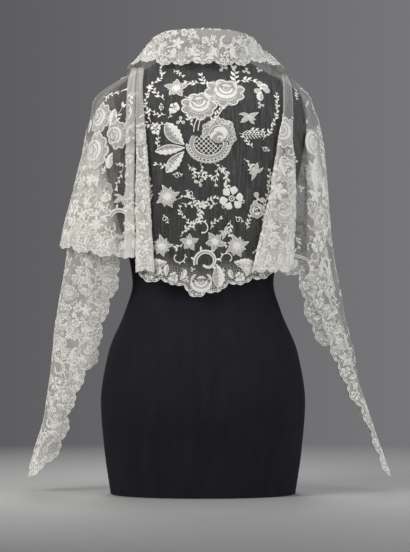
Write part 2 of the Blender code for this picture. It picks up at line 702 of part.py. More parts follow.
def collar(*bodies):
    band = Collar(*bodies)
    base = np.linspace(COLLAR_HALF, -COLLAR_HALF, 60)
    edge = scalloped([(a, 0.0) for a in base], COLLAR_SCALLOPS, -1)
    edge[:, 1] += band.fall(edge[:, 0])
    foot = [(a, -COLLAR_STAND) for a in np.linspace(-COLLAR_HALF, COLLAR_HALF, 31)]
    closer, reach = COLLAR_CROWDING
    widths = np.linspace(-COLLAR_STAND, max(edge[:, 1]) + 1, 800)
    crowded_widths = widths + closer * np.tanh(widths / reach)
    ends = np.interp(COLLAR_END_LEVELS, crowded_widths, widths)
    ends = ends[(ends > -COLLAR_STAND + 3) & (ends < edge[0, 1] - 2)]
    outline = np.vstack([foot, [(COLLAR_HALF, w) for w in ends], edge, [(-COLLAR_HALF, w) for w in ends[::-1]]])
    outline[:, 1] += closer * np.tanh(outline[:, 1] / reach)

    def surface(places):
        return band.at(np.column_stack([places[:, 0], np.interp(places[:, 1], crowded_widths, widths)]))

    wall("collar", outline, surface, COLLAR_CELL)


def main():
    for obj in list(bpy.data.objects):
        bpy.data.objects.remove(obj)
    left_body = Drape(mantle_rows(1), 1, MANTLE_SQUARE, RIPPLES_LEFT)
    right_rows = [row for row in mantle_rows(-1) if row[0] > SIDE_RIGHT_TAIL[0][0] + 20]
    right_body = Drape([*right_rows, *SIDE_RIGHT_TAIL], -1, MANTLE_SQUARE, RIPPLES_RIGHT)
    front_left = Drape(FRONT_LEFT_ROWS, 1, SIDE_SQUARE, RIPPLES_LEFT)
    front_right = Drape(FRONT_RIGHT_ROWS, -1, SIDE_SQUARE, RIPPLES_RIGHT)
    dress_form()
    back_panel(left_body, right_body)
    collar(left_body, right_body, front_right)
    hanging_fold("fold_left_outer", FOLD_LEFT_OUTER)
    hanging_fold("fold_left_inner", FOLD_LEFT_INNER)
    hanging_fold("fold_right", FOLD_RIGHT)
    last = NECK_LINE[-1][0]
    side_stretch("side_left", left_body, SEAM_LEFT, SIDE_LEFT_HEM, SIDE_LEFT_HEM_FRONT, SIDE_LEFT_FRONT, last)
    side_stretch(
        "side_right", right_body, SEAM_RIGHT, SIDE_RIGHT_HEM, SIDE_RIGHT_HEM_FRONT, SIDE_RIGHT_FRONT, last, UNDER_DROP
    )
    left_plain, right_plain = FRONT_PLAIN_ABOVE
    left_turns, right_turns = ((start, last) for start in FRONT_TURNS)
    long_front("front_left", front_left, LEFT_BACK_EDGE, left_plain, LEFT_FRONT_EDGE, left_turns, UNDER_DROP)
    long_front("front_right", front_right, RIGHT_BACK_EDGE, right_plain, RIGHT_FRONT_EDGE, right_turns)


main()
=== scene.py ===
"""The looks of a lace shawl on its dress form.

Every stretch of cloth is a thin shell of net laid on the form of its solid, with the needle lace as a raised
layer of petals, leaves, scrolls and rings on it. Sizes are in millimetres until they reach Blender. The
wearer faces -Y, so the back, with the main design, is at +Y and the wearer's left is +X.
"""

import math

import bpy
import numpy as np
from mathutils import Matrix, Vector
from mathutils.geometry import delaunay_2d_cdt

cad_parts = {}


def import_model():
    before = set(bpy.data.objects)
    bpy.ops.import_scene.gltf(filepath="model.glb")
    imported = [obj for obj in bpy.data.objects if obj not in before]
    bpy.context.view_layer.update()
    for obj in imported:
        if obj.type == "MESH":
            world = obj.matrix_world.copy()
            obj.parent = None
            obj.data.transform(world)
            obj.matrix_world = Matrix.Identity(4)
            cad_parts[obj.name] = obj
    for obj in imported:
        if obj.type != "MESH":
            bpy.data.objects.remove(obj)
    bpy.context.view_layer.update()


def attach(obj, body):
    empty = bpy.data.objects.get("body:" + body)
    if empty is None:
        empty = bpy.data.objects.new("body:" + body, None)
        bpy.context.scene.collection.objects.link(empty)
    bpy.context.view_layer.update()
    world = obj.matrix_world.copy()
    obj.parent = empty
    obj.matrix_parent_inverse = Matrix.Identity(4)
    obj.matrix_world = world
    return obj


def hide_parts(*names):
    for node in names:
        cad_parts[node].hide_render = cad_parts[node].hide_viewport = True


MM = 0.001
SHELL_CELL = 5.0  # spacing of a net shell's points
NECK_POINTS = 60  # points along the neck seam of a side or front
SEAM_POINTS = 40  # points down a seam
FORM_GRID = (150, 128)  # rings of the form's cover, and points round each
SEAM = 0.5  # gap between two stretches that meet along a seam
SHOULDER = (625, 2.0)  # height where the shoulders start to round, and how much closer points lie above it
LIFT = 0.35  # from the net's middle to the lowest layer of lace
CROWN = 0.3  # how much higher a petal's middle is than its rim
BORDER_REACH = 40.0  # how far in from a hem its border reaches
SEAM_TURN = 1.2  # degrees round the neck from a back seam to the first edge point on each side of it

# ---------------------------------------------------------------- sizes of the dress form
FORM_ROWS = (  # height, half width, reach of the back, reach of the front, squareness
    (0, 152, 108, 98, 2.2),
    (70, 162, 120, 104, 2.2),
    (150, 168, 128, 106, 2.2),
    (230, 156, 118, 102, 2.2),
    (300, 128, 94, 94, 2.2),
    (345, 116, 80, 88, 2.2),
    (387, 122, 84, 96, 2.25),
    (440, 138, 93, 110, 2.3),
    (490, 150, 100, 123, 2.3),
    (533, 160, 103, 126, 2.35),
    (575, 167, 103, 118, 2.35),
    (608, 171, 99, 104, 2.35),
    (632, 169, 93, 90, 2.3),
    (646, 165, 88, 80, 2.3),
    (660, 154.6, 80, 71, 2.25),
    (674, 137.7, 71, 64, 2.2),
    (688, 111.5, 62, 60, 2.1),
    (701, 89, 54, 57, 2.0),
    (716, 68, 48, 54, 2.0),
    (738, 57, 45, 53, 2.0),
)
NECK_RIM = (2.0, 0.9)  # rise of the neck's rounded rim, and the share of the width left there

# ---------------------------------------------------------------- sizes of the mantle
MANTLE_ROWS = (  # height, reach to the left, to the right, to the back, to the front
    (720, 72, 72, 57, 64),
    (706, 93, 95, 62, 68),
    (690, 119, 122, 68, 74),
    (677, 141, 143, 75, 79),
    (665, 160, 157, 83, 85),
    (652, 175, 167, 91, 92),
    (640, 181, 172, 98, 101),
    (620, 185, 176, 105, 114),
    (592, 192, 183, 110, 128),
    (561, 198, 189, 112, 138),
    (497, 213, 195, 113, 147),
    (411, 232, 201, 110, 147),
    (340, 240, 206, 106, 145),
    (300, 243, 208, 104, 144),
)
MANTLE_SQUARE = 2.3
NECK_LINE = (  # turn from the side towards the back in degrees, height of the neck seam
    (90, 713),
    (62, 712),
    (38, 709),
    (18, 706),
    (0, 702),
    (-20, 696),
    (-38, 684),
    (-52, 664),
    (-62, 636),
    (-68, 604),
)
UNDER_DROP = 6  # how far below the neck seam an under layer stops

# Rows of a side body: height, outer place of its fold, middle of its curve across, middle of its curve
# along Y, reach from there to the back, reach to the front.
FRONT_LEFT_ROWS = (
    (720, 68, 0, 0, 53, 60),
    (706, 88, 0, 0, 58, 64),
    (690, 113, 0, 0, 64, 70),
    (677, 136, 0, 0, 71, 75),
    (665, 155, 0, 0, 78, 81),
    (652, 167.5, 0, 0, 86, 88),
    (640, 175, 0, 0, 92, 97),
    (592, 186, 0, 0, 104, 122),
    (561, 191, 0, 0, 104, 130),
    (497, 206, 10, -2, 101, 138),
    (411, 220, 40, -8, 86, 135.4),
    (357, 228, 70, -14, 76, 124),
    (316, 236, 95, -20, 66, 110),
    (269, 244, 125, -26, 56, 94),
    (202, 251, 165, -32, 44, 72),
    (163, 257, 187, -35, 38, 60),
    (122, 263, 207, -37, 32, 50),
    (70, 279, 230, -39, 26, 38),
    (20, 292, 245, -40, 20, 30),
)
FRONT_RIGHT_ROWS = (
    (720, 82, 0, 0, 64, 71),
    (706, 104, 0, 0, 69, 75),
    (690, 130, 0, 0, 75, 81),
    (677, 150, 0, 0, 82, 86),
    (663, 167, 0, 0, 92, 94),
    (652, 176, 0, 0, 99, 101),
    (640, 180, 0, 0, 105, 110),
    (606, 191, 0, 0, 115, 130),
    (565, 199, 0, 0, 119, 146),
    (533, 202, 0, 0, 121, 152),
    (479, 206, 6, 0, 121, 156),
    (422, 210, 20, -3, 118, 154),
    (375, 216, 45, -8, 112, 146),
    (339, 224, 72, -14, 100, 134),
    (274, 238, 120, -24, 78, 104),
    (230, 250, 150, -30, 62, 84),
    (187, 256, 178, -34, 48, 68),
    (147, 269, 205, -37, 40, 56),
    (91, 288, 238, -40, 30, 42),
    (20, 314, 272, -42, 20, 30),
)
SIDE_RIGHT_TAIL = (  # the right under layer below the waist, same columns
    (340, 214, 40, -8, 96, 134),
    (290, 226, 85, -16, 74, 110),
    (230, 241, 140, -28, 52, 76),
)
SIDE_SQUARE = 2.15
RIPPLES_LEFT = ((-84, 20, 6, 600), (-26, 17, 5, 540), (30, 17, 5, 560), (82, 15, 4, 600))
RIPPLES_RIGHT = ((-90, 20, 6, 600), (-30, 18, 5, 540), (30, 16, 4, 540))  # along, width, depth, top
RIPPLE_FADE = 160.0  # height below its top over which a ripple deepens

# Scallops: width and depth of the large lobes, width and depth of the small scallops on them.
HEM_SCALLOPS = (42, 6.5, 12.5, 2.6)
END_SCALLOPS = (40, 6.0, 12.5, 2.6)
COLLAR_SCALLOPS = (33, 5.5, 12, 2.4)
FOLD_SCALLOPS = (30, 4.0, 12, 2.2)
SCALLOP_FADE = 40.0  # height over which scallops fade out where an edge turns into a fold

# The back: where the hem's lobes spring from, as across, height.
BACK_HEM = (
    (106, 366),
    (84, 355),
    (50, 352),
    (26, 341),
    (6, 330),
    (-28, 342),
    (-52, 350),
    (-84, 356),
    (-112, 370),
)
BACK_FOLDS = (  # across at the top, across at the hem, width, depth, height where it fades out
    (88, 66, 10, 4.0, 690),
    (70, 48, 9, 2.6, 640),
    (-96, -66, 10, 3.4, 670),
    (-62, -40, 12, 2.0, 600),
    (18, 10, 14, 1.4, 700),
)
SEAM_LEFT = ((700, 101), (600, 101), (350, 104))  # height, across, of the seam under the left folds
SEAM_RIGHT = ((700, -113), (660, -128), (560, -124), (350, -114))

# The hanging folds: height, outer edge, inner edge. Each facing edge of the left two lies up to 1.4 mm nearer
# the other fold than its solid's edge does, but not round height 560, where the photo shows a slit.
FOLD_LEFT_OUTER = (
    (690, 114, 104.4),
    (660, 121, 107.4),
    (620, 122, 107.4),
    (560, 122, 108),
    (480, 124, 108.6),
    (430, 125, 107.6),
    (392, 126, 107.4),
)
FOLD_LEFT_INNER = (
    (690, 103.6, 94),
    (660, 106.6, 96),
    (620, 106.4, 93),
    (560, 105.2, 88),
    (480, 107.2, 83),
    (430, 106.8, 80),
    (369, 106.6, 76),
)
FOLD_RIGHT = (
    (680, -134, -126),
    (656, -141, -128),
    (620, -142, -127),
    (580, -141, -120),
    (536, -145, -113),
    (480, -147, -104),
    (424, -145, -91),
    (368, -142, -78),
)
FOLDS = (
    ("fold_left_outer", FOLD_LEFT_OUTER),
    ("fold_left_inner", FOLD_LEFT_INNER),
    ("fold_right", FOLD_RIGHT),
)
FOLD_GIRTH = 2.3  # a fold's width laid flat, as a multiple of its width at the foot
FOLD_HEIGHT = 8.6  # how far a fold's top layer stands off the mantle
FOLD_RETURN = 9.0  # how far its edges turn back under it
FOLD_CLEARANCE = 2.6  # from the mantle's middle surface to the returned edge's
RETURN_SHARE = 0.62  # most of a fold's half width that its turned edge may take

# Outlines of the side stretches. Seen from behind: across, height. In front: length round, height.
SIDE_LEFT_HEM = ((106, 394), (140, 394), (170, 398), (200, 404), (222, 410))
SIDE_LEFT_HEM_FRONT = ((0, 414), (-44, 412), (-88, 414), (-120, 430))
SIDE_LEFT_FRONT = ((-146, 500), (-166, 560))
SIDE_RIGHT_HEM = ((-116, 370), (-142, 366), (-158, 358), (-166, 328), (-175, 290), (-188, 264), (-206, 246))
SIDE_RIGHT_HEM_FRONT = ((-20, 244), (-50, 262), (-84, 310), (-112, 390))
SIDE_RIGHT_FRONT = ((-140, 470), (-166, 560))
LEFT_BACK_EDGE = (  # across, height, from the tip up
    (280, 34),
    (262, 48),
    (248, 62),
    (236, 84),
    (228, 108),
    (224, 134),
    (210, 166),
    (198, 196),
    (178, 224),
    (172, 262),
    (158, 310),
    (142, 352),
    (142, 400),
    (140, 500),
    (136, 600),
)
# The fronts' own edges: length round, height, from the tip up.
FRONT_EDGE_ABOVE = ((-84, 270), (-112, 350), (-138, 430), (-160, 500), (-181, 560))
LEFT_FRONT_EDGE = ((-12, 38), (-26, 80), (-40, 130), (-58, 190), *FRONT_EDGE_ABOVE)
RIGHT_FRONT_EDGE = ((-12, 40), (-22, 80), (-36, 130), (-56, 190), *FRONT_EDGE_ABOVE)
RIGHT_BACK_EDGE = (
    (-304, 36),
    (-290, 66),
    (-278, 100),
    (-262, 136),
    (-246, 162),
    (-232, 196),
    (-218, 226),
    (-208, 262),
    (-194, 296),
    (-178, 326),
    (-170, 360),
    (-168, 420),
    (-168, 500),
    (-167, 570),
    (-165, 620),
    (-160, 654),
)
TIP = (0, 28)  # length round and height of each front's point
FRONT_PLAIN_ABOVE = (410, 340)  # height above which the left and right fronts' back edges are plain folds
FRONT_TURNS = (14, -4)  # degrees towards the back where the left and right fronts start at the neck seam

# The collar: share of its length from the middle of the back, turn of its foot on the neck seam, how far
# out and how far up its fold is from there, the length of its fall, the fall's lean in degrees.
COLLAR_ROWS = (
    (0.00, 90, 16, 43, 53, 2),
    (0.20, 60, 14, 42, 53, 4),
    (0.38, 34, 6, 37, 37, 14),
    (0.52, 12, 5, 23, 25, 34),
    (0.66, -10, 4, 16, 20, 54),
    (0.78, -30, 4, 13, 18, 58),
    (0.89, -49, 4, 12, 16, 56),
    (1.00, -67, 4, 11, 14, 50),
)
COLLAR_RIGHT_RISE = -3.0  # how much higher the fold's right end is than its left
COLLAR_CROSSING = (0.5, 0.6)  # share where its foot steps from the right side onto the right front
COLLAR_HALF = 250.0  # length of the collar's fold from the middle of the back to each end
COLLAR_BEND = 2.8  # radius of its turned fold
COLLAR_STAND = 40.0  # length of its stand on the flat
COLLAR_LIFTS = (1.5, 1.5, 2.1)  # from the neck seam of the left, the right and the right front to its foot


# ---------------------------------------------------------------- curves
def smooth(table, place):
    """Each column of a table at the places given, on a curve that never swings past its rows."""
    rows = np.array(sorted(table), float)
    at, values = rows[:, 0], rows[:, 1:]
    gap = np.diff(at)[:, None]
    slope = np.diff(values, axis=0) / gap
    lean = np.zeros_like(values)
    same = slope[:-1] * slope[1:] > 0
    total = np.where(same, slope[:-1] + slope[1:], 1)
    lean[1:-1] = np.where(same, 2 * slope[:-1] * slope[1:] / total, 0)
    lean[0], lean[-1] = slope[0], slope[-1]
    place = np.clip(np.asarray(place, float), at[0], at[-1])
    k = np.clip(np.searchsorted(at, place) - 1, 0, len(at) - 2)
    t = ((place - at[k]) / gap[k, 0])[..., None]
    first, last, width = values[k], values[k + 1], gap[k]
    return (
        first * (1 + 2 * t) * (1 - t) ** 2
        + last * t * t * (3 - 2 * t)
        + width * (lean[k] * t * (1 - t) ** 2 + lean[k + 1] * t * t * (t - 1))
    )


def lengths_along(line):
    """The length along a line at each of its points."""
    return np.concatenate([[0], np.cumsum(np.linalg.norm(np.diff(line, axis=0), axis=1))])


def curve_through(points, step):
    """Points about one step apart on a smooth curve through the given points."""
    points = np.asarray(points, float)
    length = lengths_along(points)
    count = max(2, int(round(length[-1] / step)) + 1)
    at = np.linspace(0, length[-1], count)
    padded = np.vstack([2 * points[0] - points[1], points, 2 * points[-1] - points[-2]])
    k = np.clip(np.searchsorted(length, at, side="right") - 1, 0, len(points) - 2)
    t = ((at - length[k]) / (length[k + 1] - length[k]))[:, None]
    a, b, c, d = padded[k], padded[k + 1], padded[k + 2], padded[k + 3]
    return 0.5 * (2 * b + (c - a) * t + (2 * a - 5 * b + 4 * c - d) * t**2 + (3 * b - a - 3 * c + d) * t**3)


def unit(vectors):
    return vectors / np.maximum(np.linalg.norm(vectors, axis=-1, keepdims=True), 1e-9)


def turned(points, degrees):
    angle = math.radians(degrees)
    spin = np.array([[math.cos(angle), -math.sin(angle)], [math.sin(angle), math.cos(angle)]])
    return np.asarray(points, float) @ spin.T


def way(degrees):
    return np.array([math.cos(math.radians(degrees)), math.sin(math.radians(degrees))])


def ways(angles):
    return np.column_stack([np.cos(angles), np.sin(angles)])


def left_of(run):
    """Each direction turned a quarter to its left."""
    return np.column_stack([-run[:, 1], run[:, 0]])


class Edge:
    """A scalloped edge on the flat, read by the length along it and the depth in from it."""

    def __init__(self, points, scallops, outward=1, plain_above=math.inf):
        self.lobe, self.lobe_depth, self.small, self.small_depth = scallops
        self.plain_above = plain_above
        self.base, self.outward = curve_through(points, 1.0), outward
        self.along = lengths_along(self.base)
        self.length = self.along[-1]
        self.lobes = max(1, round(self.length / self.lobe))
        self.smalls = self.lobes * max(1, round(self.length / self.lobes / self.small))

    def reach(self, at):
        share = at / self.length
        lobe = self.lobe_depth * abs(np.sin(math.pi * self.lobes * share))
        out = lobe + self.small_depth * abs(np.sin(math.pi * self.smalls * share))
        if self.plain_above < math.inf:
            height = np.interp(at, self.along, self.base[:, 1])
            out = out * np.clip((self.plain_above - height) / SCALLOP_FADE, 0, 1)
        return out

    def spots(self, at):
        return np.column_stack([np.interp(at, self.along, column) for column in self.base.T])

    def place(self, at, inward=0.0):
        """Flat places at lengths along the edge, set in from it, and which way is out there."""
        at = np.atleast_1d(np.asarray(at, float))
        run = unit(self.spots(at + 1) - self.spots(at - 1))
        out = self.outward * left_of(run)
        return self.spots(at) + out * (self.reach(at) - inward)[:, None], out

    def outline(self, steps=7):
        return self.place(np.linspace(0, self.length, self.smalls * steps + 1))[0]


def crowded(height):
    """Heights stretched over the shoulders, so that even steps lie closer together there."""
    start, more = SHOULDER
    return height + more * np.clip(height - start, 0, None)


def uncrowded(level):
    start, more = SHOULDER
    return np.where(level > start, start + (level - start) / (1 + more), level)


# ---------------------------------------------------------------- surfaces, as the solids have them
def on_ring(turn, side, back, front, square):
    cosine, sine = np.cos(turn), np.sin(turn)
    reach = np.where(sine > 0, back, front)
    x = side * np.abs(cosine) ** (2 / square) * np.sign(cosine)
    return x, reach * np.abs(sine) ** (2 / square) * np.sign(sine)


class Drape:
    """One side of a body lofted through rings, unrolled: read by the length round a ring from its outer
    place, positive towards the back, and by the height."""

    TURNS = np.linspace(-math.pi / 2, math.pi / 2, 361)
    STEP, LEVEL, LONGEST = 2.0, 3.0, 420.0

    def __init__(self, rows, sign, square, ripples=()):
        self.rows, self.sign, self.square = rows, sign, square
        self.low, self.high = rows[-1][0], rows[0][0]
        self.levels = np.arange(self.low, self.high + self.LEVEL, self.LEVEL)
        self.lengths = np.arange(-self.LONGEST, self.LONGEST + self.STEP, self.STEP)
        self.table = np.empty((len(self.levels), len(self.lengths), 2))
        for i, level in enumerate(self.levels):
            place, x, y = self.ring(level)
            lift = sum(
                depth * np.exp(-(((place - spot) / width) ** 2)) * np.clip((top - level) / RIPPLE_FADE, 0, 1)
                for spot, width, depth, top in ripples
            )
            out_x, out_y = np.gradient(y, place), -np.gradient(x, place)
            self.table[i, :, 0] = sign * np.interp(self.lengths, place, x + out_x * lift)
            self.table[i, :, 1] = np.interp(self.lengths, place, y + out_y * lift)

    def ring(self, level):
        """Length round, across and Y of the ring at a height, running on straight past its middle."""
        outer, centre, middle, back, front = smooth(self.rows, level)
        x, y = on_ring(self.TURNS, outer - centre, back, front, self.square)
        x = np.concatenate([[x[0] - self.LONGEST], x, [x[-1] - self.LONGEST]]) + centre
        y = np.concatenate([[y[0]], y, [y[-1]]]) + middle
        place = np.concatenate([[0], np.cumsum(np.hypot(np.diff(x), np.diff(y)))])
        return place - place[len(place) // 2], x, y

    def at(self, places):
        along, height = places[:, 0], places[:, 1]
        i = np.clip((height - self.low) / self.LEVEL, 0, len(self.table) - 1.001)
        j = np.clip((along + self.LONGEST) / self.STEP, 0, len(self.lengths) - 1.001)
        i0, j0 = i.astype(int), j.astype(int)
        s, t = (i - i0)[:, None], (j - j0)[:, None]
        near = self.table[i0, j0] * (1 - t) + self.table[i0, j0 + 1] * t
        far = self.table[i0 + 1, j0] * (1 - t) + self.table[i0 + 1, j0 + 1] * t
        return np.column_stack([near * (1 - s) + far * s, height])

    def from_behind(self, across, height):
        """Length round and height of a place on the back half given as it is seen from behind."""
        place, x, _ = self.ring(height)
        half = place >= 0
        return float(np.interp(-abs(across), -x[half], place[half])), height

    def at_turn(self, turn, height):
        """Length round and height of a place given by its turn from the side."""
        place = self.ring(height)[0][1:-1]
        return float(np.interp(math.radians(turn), self.TURNS, place)), height


def mantle_rows(sign):
    rows = MANTLE_ROWS
    return [(z, left if sign > 0 else right, 0, 0, back, front) for z, left, right, back, front in rows]


def back_depth(across, height):
    """How far back the mantle lies at a place on it seen from behind."""
    left, right, back, _ = smooth(MANTLE_ROWS, height).T
    share = np.clip(np.abs(across) / np.where(across > 0, left, right), 0, 0.998)
    return back * (1 - share**MANTLE_SQUARE) ** (1 / MANTLE_SQUARE)


def back_folds(across, height):
    """How far the soft upright folds lift the back off its body, deepest at the hem."""
    lift = np.zeros_like(across)
    low, high = BACK_HEM[4][1], NECK_LINE[0][1]
    for top, hem, width, depth, fade in BACK_FOLDS:
        middle = hem + (top - hem) * (height - low) / (high - low)
        strength = np.clip((fade - height) / (fade - low), 0, 1) ** 0.7
        lift += depth * strength * np.exp(-(((across - middle) / width) ** 2))
    return lift


def on_back(places):
    across, height = places[:, 0], places[:, 1]
    return np.column_stack([across, back_depth(across, height) + back_folds(across, height), height])


def fold_lengths(rows):
    """Heights down the middle of a hanging fold, and the length down to each."""
    heights = np.linspace(rows[0][0], rows[-1][0] - 20, 200)
    x = smooth(rows, heights).mean(axis=1)
    line = np.column_stack([x, back_depth(x, heights), heights])
    return heights, lengths_along(line)


def on_fold(rows):
    """A flattened tube open along its back: its top layer and an edge turned under on each side."""
    heights, lengths_down = fold_lengths(rows)

    def at(places):
        share, height = places[:, 0], np.interp(-places[:, 1], lengths_down, heights)
        outer, inner = smooth(rows, height).T
        half = np.abs(outer - inner) / 2
        turned = np.minimum(FOLD_RETURN, half * RETURN_SHARE)
        bend = (FOLD_HEIGHT - FOLD_CLEARANCE) / 2
        arc, straight = math.pi * bend, 2 * (half - bend)
        stretches = (turned, arc, straight, arc, turned)
        run = share * sum(stretches)
        lengths = [np.broadcast_to(s, run.shape) for s in stretches]
        starts = np.cumsum([np.zeros_like(run), *lengths[:-1]], axis=0)
        first, second = (np.clip((run - starts[i]) / bend, 0, math.pi) for i in (1, 3))
        across = -half + bend + lengths[0] - np.clip(run, None, lengths[0])
        across = across - bend * np.sin(first) + np.clip(run - starts[2], 0, straight)
        across = across + bend * np.sin(second) - np.clip(run - starts[4], 0, None)
        rise = bend * (1 - np.cos(first)) - bend * (1 - np.cos(second))
        spots = np.column_stack([(outer + inner) / 2 + np.sign(inner - outer) * across, height])
        slope = [(on_back(spots + step) - on_back(spots - step))[:, 1] / 2 for step in ([1, 0], [0, 1])]
        normal = np.column_stack([-slope[0], np.ones_like(height), -slope[1]])
        normal /= np.linalg.norm(normal, axis=1, keepdims=True)
        return on_back(spots) + normal * (FOLD_CLEARANCE + rise)[:, None]

    return at


class Collar:
    """A strip bent over its fold, read by the length round the neck and by the length from the fold,
    negative down the stand and positive down the fall."""

    def __init__(self, left_body, right_body, front_right):
        half = np.linspace(0, 1, 201)
        turn, off, rise, fall, lean = smooth(COLLAR_ROWS, half).T
        height = smooth(NECK_LINE, turn)[:, 0]
        feet = []
        for body, lift in zip((left_body, right_body, front_right), COLLAR_LIFTS):
            spots = np.array([body.at_turn(t, z) for t, z in zip(turn, height)])
            run = np.gradient(spots, axis=0)
            away = np.column_stack([run[:, 1], -run[:, 0]]) / np.linalg.norm(run, axis=1, keepdims=True)
            feet.append(body.at(spots + away * lift))
        low, high = COLLAR_CROSSING
        outer = np.clip((half - low) / (high - low), 0, 1)[:, None]
        sides = (feet[0], 1, 0.0), (feet[1] * (1 - outer) + feet[2] * outer, -1, COLLAR_RIGHT_RISE)
        columns = []
        for foot, sign, more in sides:
            run = np.gradient(foot[:, :2], axis=0)
            run /= sign * np.linalg.norm(run, axis=1, keepdims=True)
            out = np.column_stack([-run[:, 1], run[:, 0], np.zeros(len(run))])
            up = np.column_stack([np.zeros((len(run), 2)), rise + more * half])
            fold = foot + out * off[:, None] + up
            columns.append(np.column_stack([foot, fold, out, fall, np.radians(lean)]))
        self.grid = np.concatenate([-half[::-1], half[1:]])
        self.columns = np.vstack([columns[1][::-1], columns[0][1:]])

    def values(self, along):
        share = along / COLLAR_HALF
        return np.column_stack([np.interp(share, self.grid, column) for column in self.columns.T])

    def fall(self, along):
        return self.values(along)[:, 9]

    def at(self, places):
        values, down = self.values(places[:, 0]), places[:, 1]
        foot, fold, out, lean = values[:, 0:3], values[:, 3:6], values[:, 6:9], values[:, 10:11]
        up = np.array([0, 0, 1.0])
        bend, quarter = COLLAR_BEND, COLLAR_BEND * math.pi / 2
        turn = np.clip(down / bend, -math.pi / 2, math.pi / 2)[:, None]
        over = fold + out * bend * np.sin(turn) - up * bend * (1 - np.cos(turn))
        past = np.clip(down - quarter, 0, None)[:, None]
        over = over + past * (out * np.sin(lean) - up * np.cos(lean))
        share_down = np.clip((-down - quarter) / (COLLAR_STAND - quarter), 0, None)[:, None]
        return over + share_down * (foot - (fold - out * bend - up * bend))


# ---------------------------------------------------------------- stretches of cloth
def inside(outline, spots):
    """Which places lie inside an outline."""
    found = np.zeros(len(spots), bool)
    for (x0, y0), (x1, y1) in zip(outline, np.roll(outline, -1, axis=0)):
        if y0 != y1:
            crosses = (y0 > spots[:, 1]) != (y1 > spots[:, 1])
            found ^= crosses & (spots[:, 0] < (x1 - x0) * (spots[:, 1] - y0) / (y1 - y0) + x0)
    return found


def nearest(spots, line):
    """Distance from each place to the nearest point of a line."""
    far = np.full(len(spots), 1e9)
    for part in np.array_split(line, max(1, len(line) // 64)):
        far = np.minimum(far, (((spots[:, None] - part[None]) ** 2).sum(axis=2)).min(axis=1))
    return np.sqrt(far)


class Stretch:
    """A stretch of cloth: its outline on the flat, the surface it lies on, and which way is out and up."""

    def __init__(self, name, outline, surface, facing, hems, upright=True, scale=(1.0, 1.0), up=1):
        self.name, self.outline, self.surface, self.facing = name, np.asarray(outline), surface, facing
        self.hems, self.upright, self.scale, self.up = hems, upright, np.array(scale), up

    def at(self, flat):
        return self.surface(flat / self.scale)

    def slopes(self, flat):
        """The surface's run along each flat direction, and its outward normal."""
        step = 0.8
        side = (self.at(flat + [step, 0]) - self.at(flat - [step, 0])) / (2 * step)
        rise = (self.at(flat + [0, step]) - self.at(flat - [0, step])) / (2 * step)
        return side, rise, unit(np.cross(side, rise)) * self.facing

    def spread(self, place):
        """The matrix from true sizes on the cloth, right and up as seen from outside, to flat ones."""
        side, rise, out = (v[0] for v in self.slopes(np.asarray([place], float)))
        right = unit(np.cross(unit(rise * self.up), out))
        above = np.cross(out, right)
        return np.linalg.inv(np.array([[side @ right, rise @ right], [side @ above, rise @ above]]))

    def from_hem(self, flat):
        """How far places are from the bordered parts of the hems."""
        found = []
        for edge in self.hems:
            low, high = hem_run(edge) if self.upright else (0, edge.length)
            found.append(nearest(flat, edge.place(np.arange(low, high, 3.0))[0]))
        return np.min(found, axis=0)


def new_mesh(name, points, faces, numbers=(), vectors=()):
    mesh = bpy.data.meshes.new(name)
    mesh.from_pydata((np.asarray(points) * MM).tolist(), [], faces)
    for kind, found in (("FLOAT", numbers), ("FLOAT_VECTOR", vectors)):
        for label, values in found:
            attribute = mesh.attributes.new(label, kind, "POINT")
            field = "value" if kind == "FLOAT" else "vector"
            attribute.data.foreach_set(field, np.ravel(values).astype(np.float32))
    mesh.shade_smooth()
    obj = bpy.data.objects.new(name, mesh)
    bpy.context.scene.collection.objects.link(obj)
    return obj


def shell(stretch, density):
    """The net of a stretch. Its cover by lace grows towards the hems, and density gives how close it is."""
    outline, cell = stretch.outline.copy(), SHELL_CELL
    if stretch.upright:
        outline[:, 1] = crowded(outline[:, 1])
    low, high = outline.min(axis=0), outline.max(axis=0)
    counts = np.maximum(np.round((high - low) / cell), 1).astype(int)
    grid = np.meshgrid(*[np.linspace(low[i], high[i], counts[i] + 1) for i in (0, 1)], indexing="ij")
    spots = np.column_stack([g.ravel() for g in grid])
    spots = spots[inside(outline, spots)]
    spots = spots[nearest(spots, outline) > 0.5 * cell]
    ring = list(range(len(outline)))
    every = np.vstack([outline, spots]) / cell
    found, _, triangles, *_ = delaunay_2d_cdt([tuple(p) for p in every], [], [ring], 1, 1e-5)
    flat = np.array([tuple(p) for p in found]) * cell
    if stretch.upright:
        flat[:, 1] = uncrowded(flat[:, 1])
    points = stretch.at(flat)
    cover = np.clip(1.1 - stretch.from_hem(flat) / BORDER_REACH, 0.0, 1)
    numbers = [("cover", cover), ("gather", density(flat, points))]
    thread = np.column_stack([flat, np.zeros(len(flat))])
    faces = [tuple(t) if stretch.facing > 0 else tuple(reversed(t)) for t in triangles]
    return new_mesh(stretch.name + "_net", points, faces, numbers, [("flat", thread)])


# ---------------------------------------------------------------- lace
def band(points, half, solid=1.0, lift=0.0, closed=False):
    """A strip of lace along a line: half its width at each point, how dense it is, and its layer."""
    points = np.asarray(points, float)
    return points, np.broadcast_to(np.asarray(half, float), (len(points),)).astype(float), solid, lift, closed


def arc(centre, radius, start, end, steps):
    angles = np.radians(np.linspace(start, end, steps))
    return np.asarray(centre) + radius * ways(angles)


def ring(centre, radius, width, solid=1.0, lift=0.5, steps=12):
    return band(arc(centre, radius, 0, 360, steps + 1)[:-1], width / 2, solid, lift, True)


def disc(centre, radius, solid=1.0, lift=0.6, steps=5):
    along = -np.cos(np.linspace(0.12, math.pi - 0.12, steps))
    half = radius * np.sqrt(1 - along**2)
    return band(np.asarray(centre) + np.column_stack([along * radius, np.zeros(steps)]), half, solid, lift)


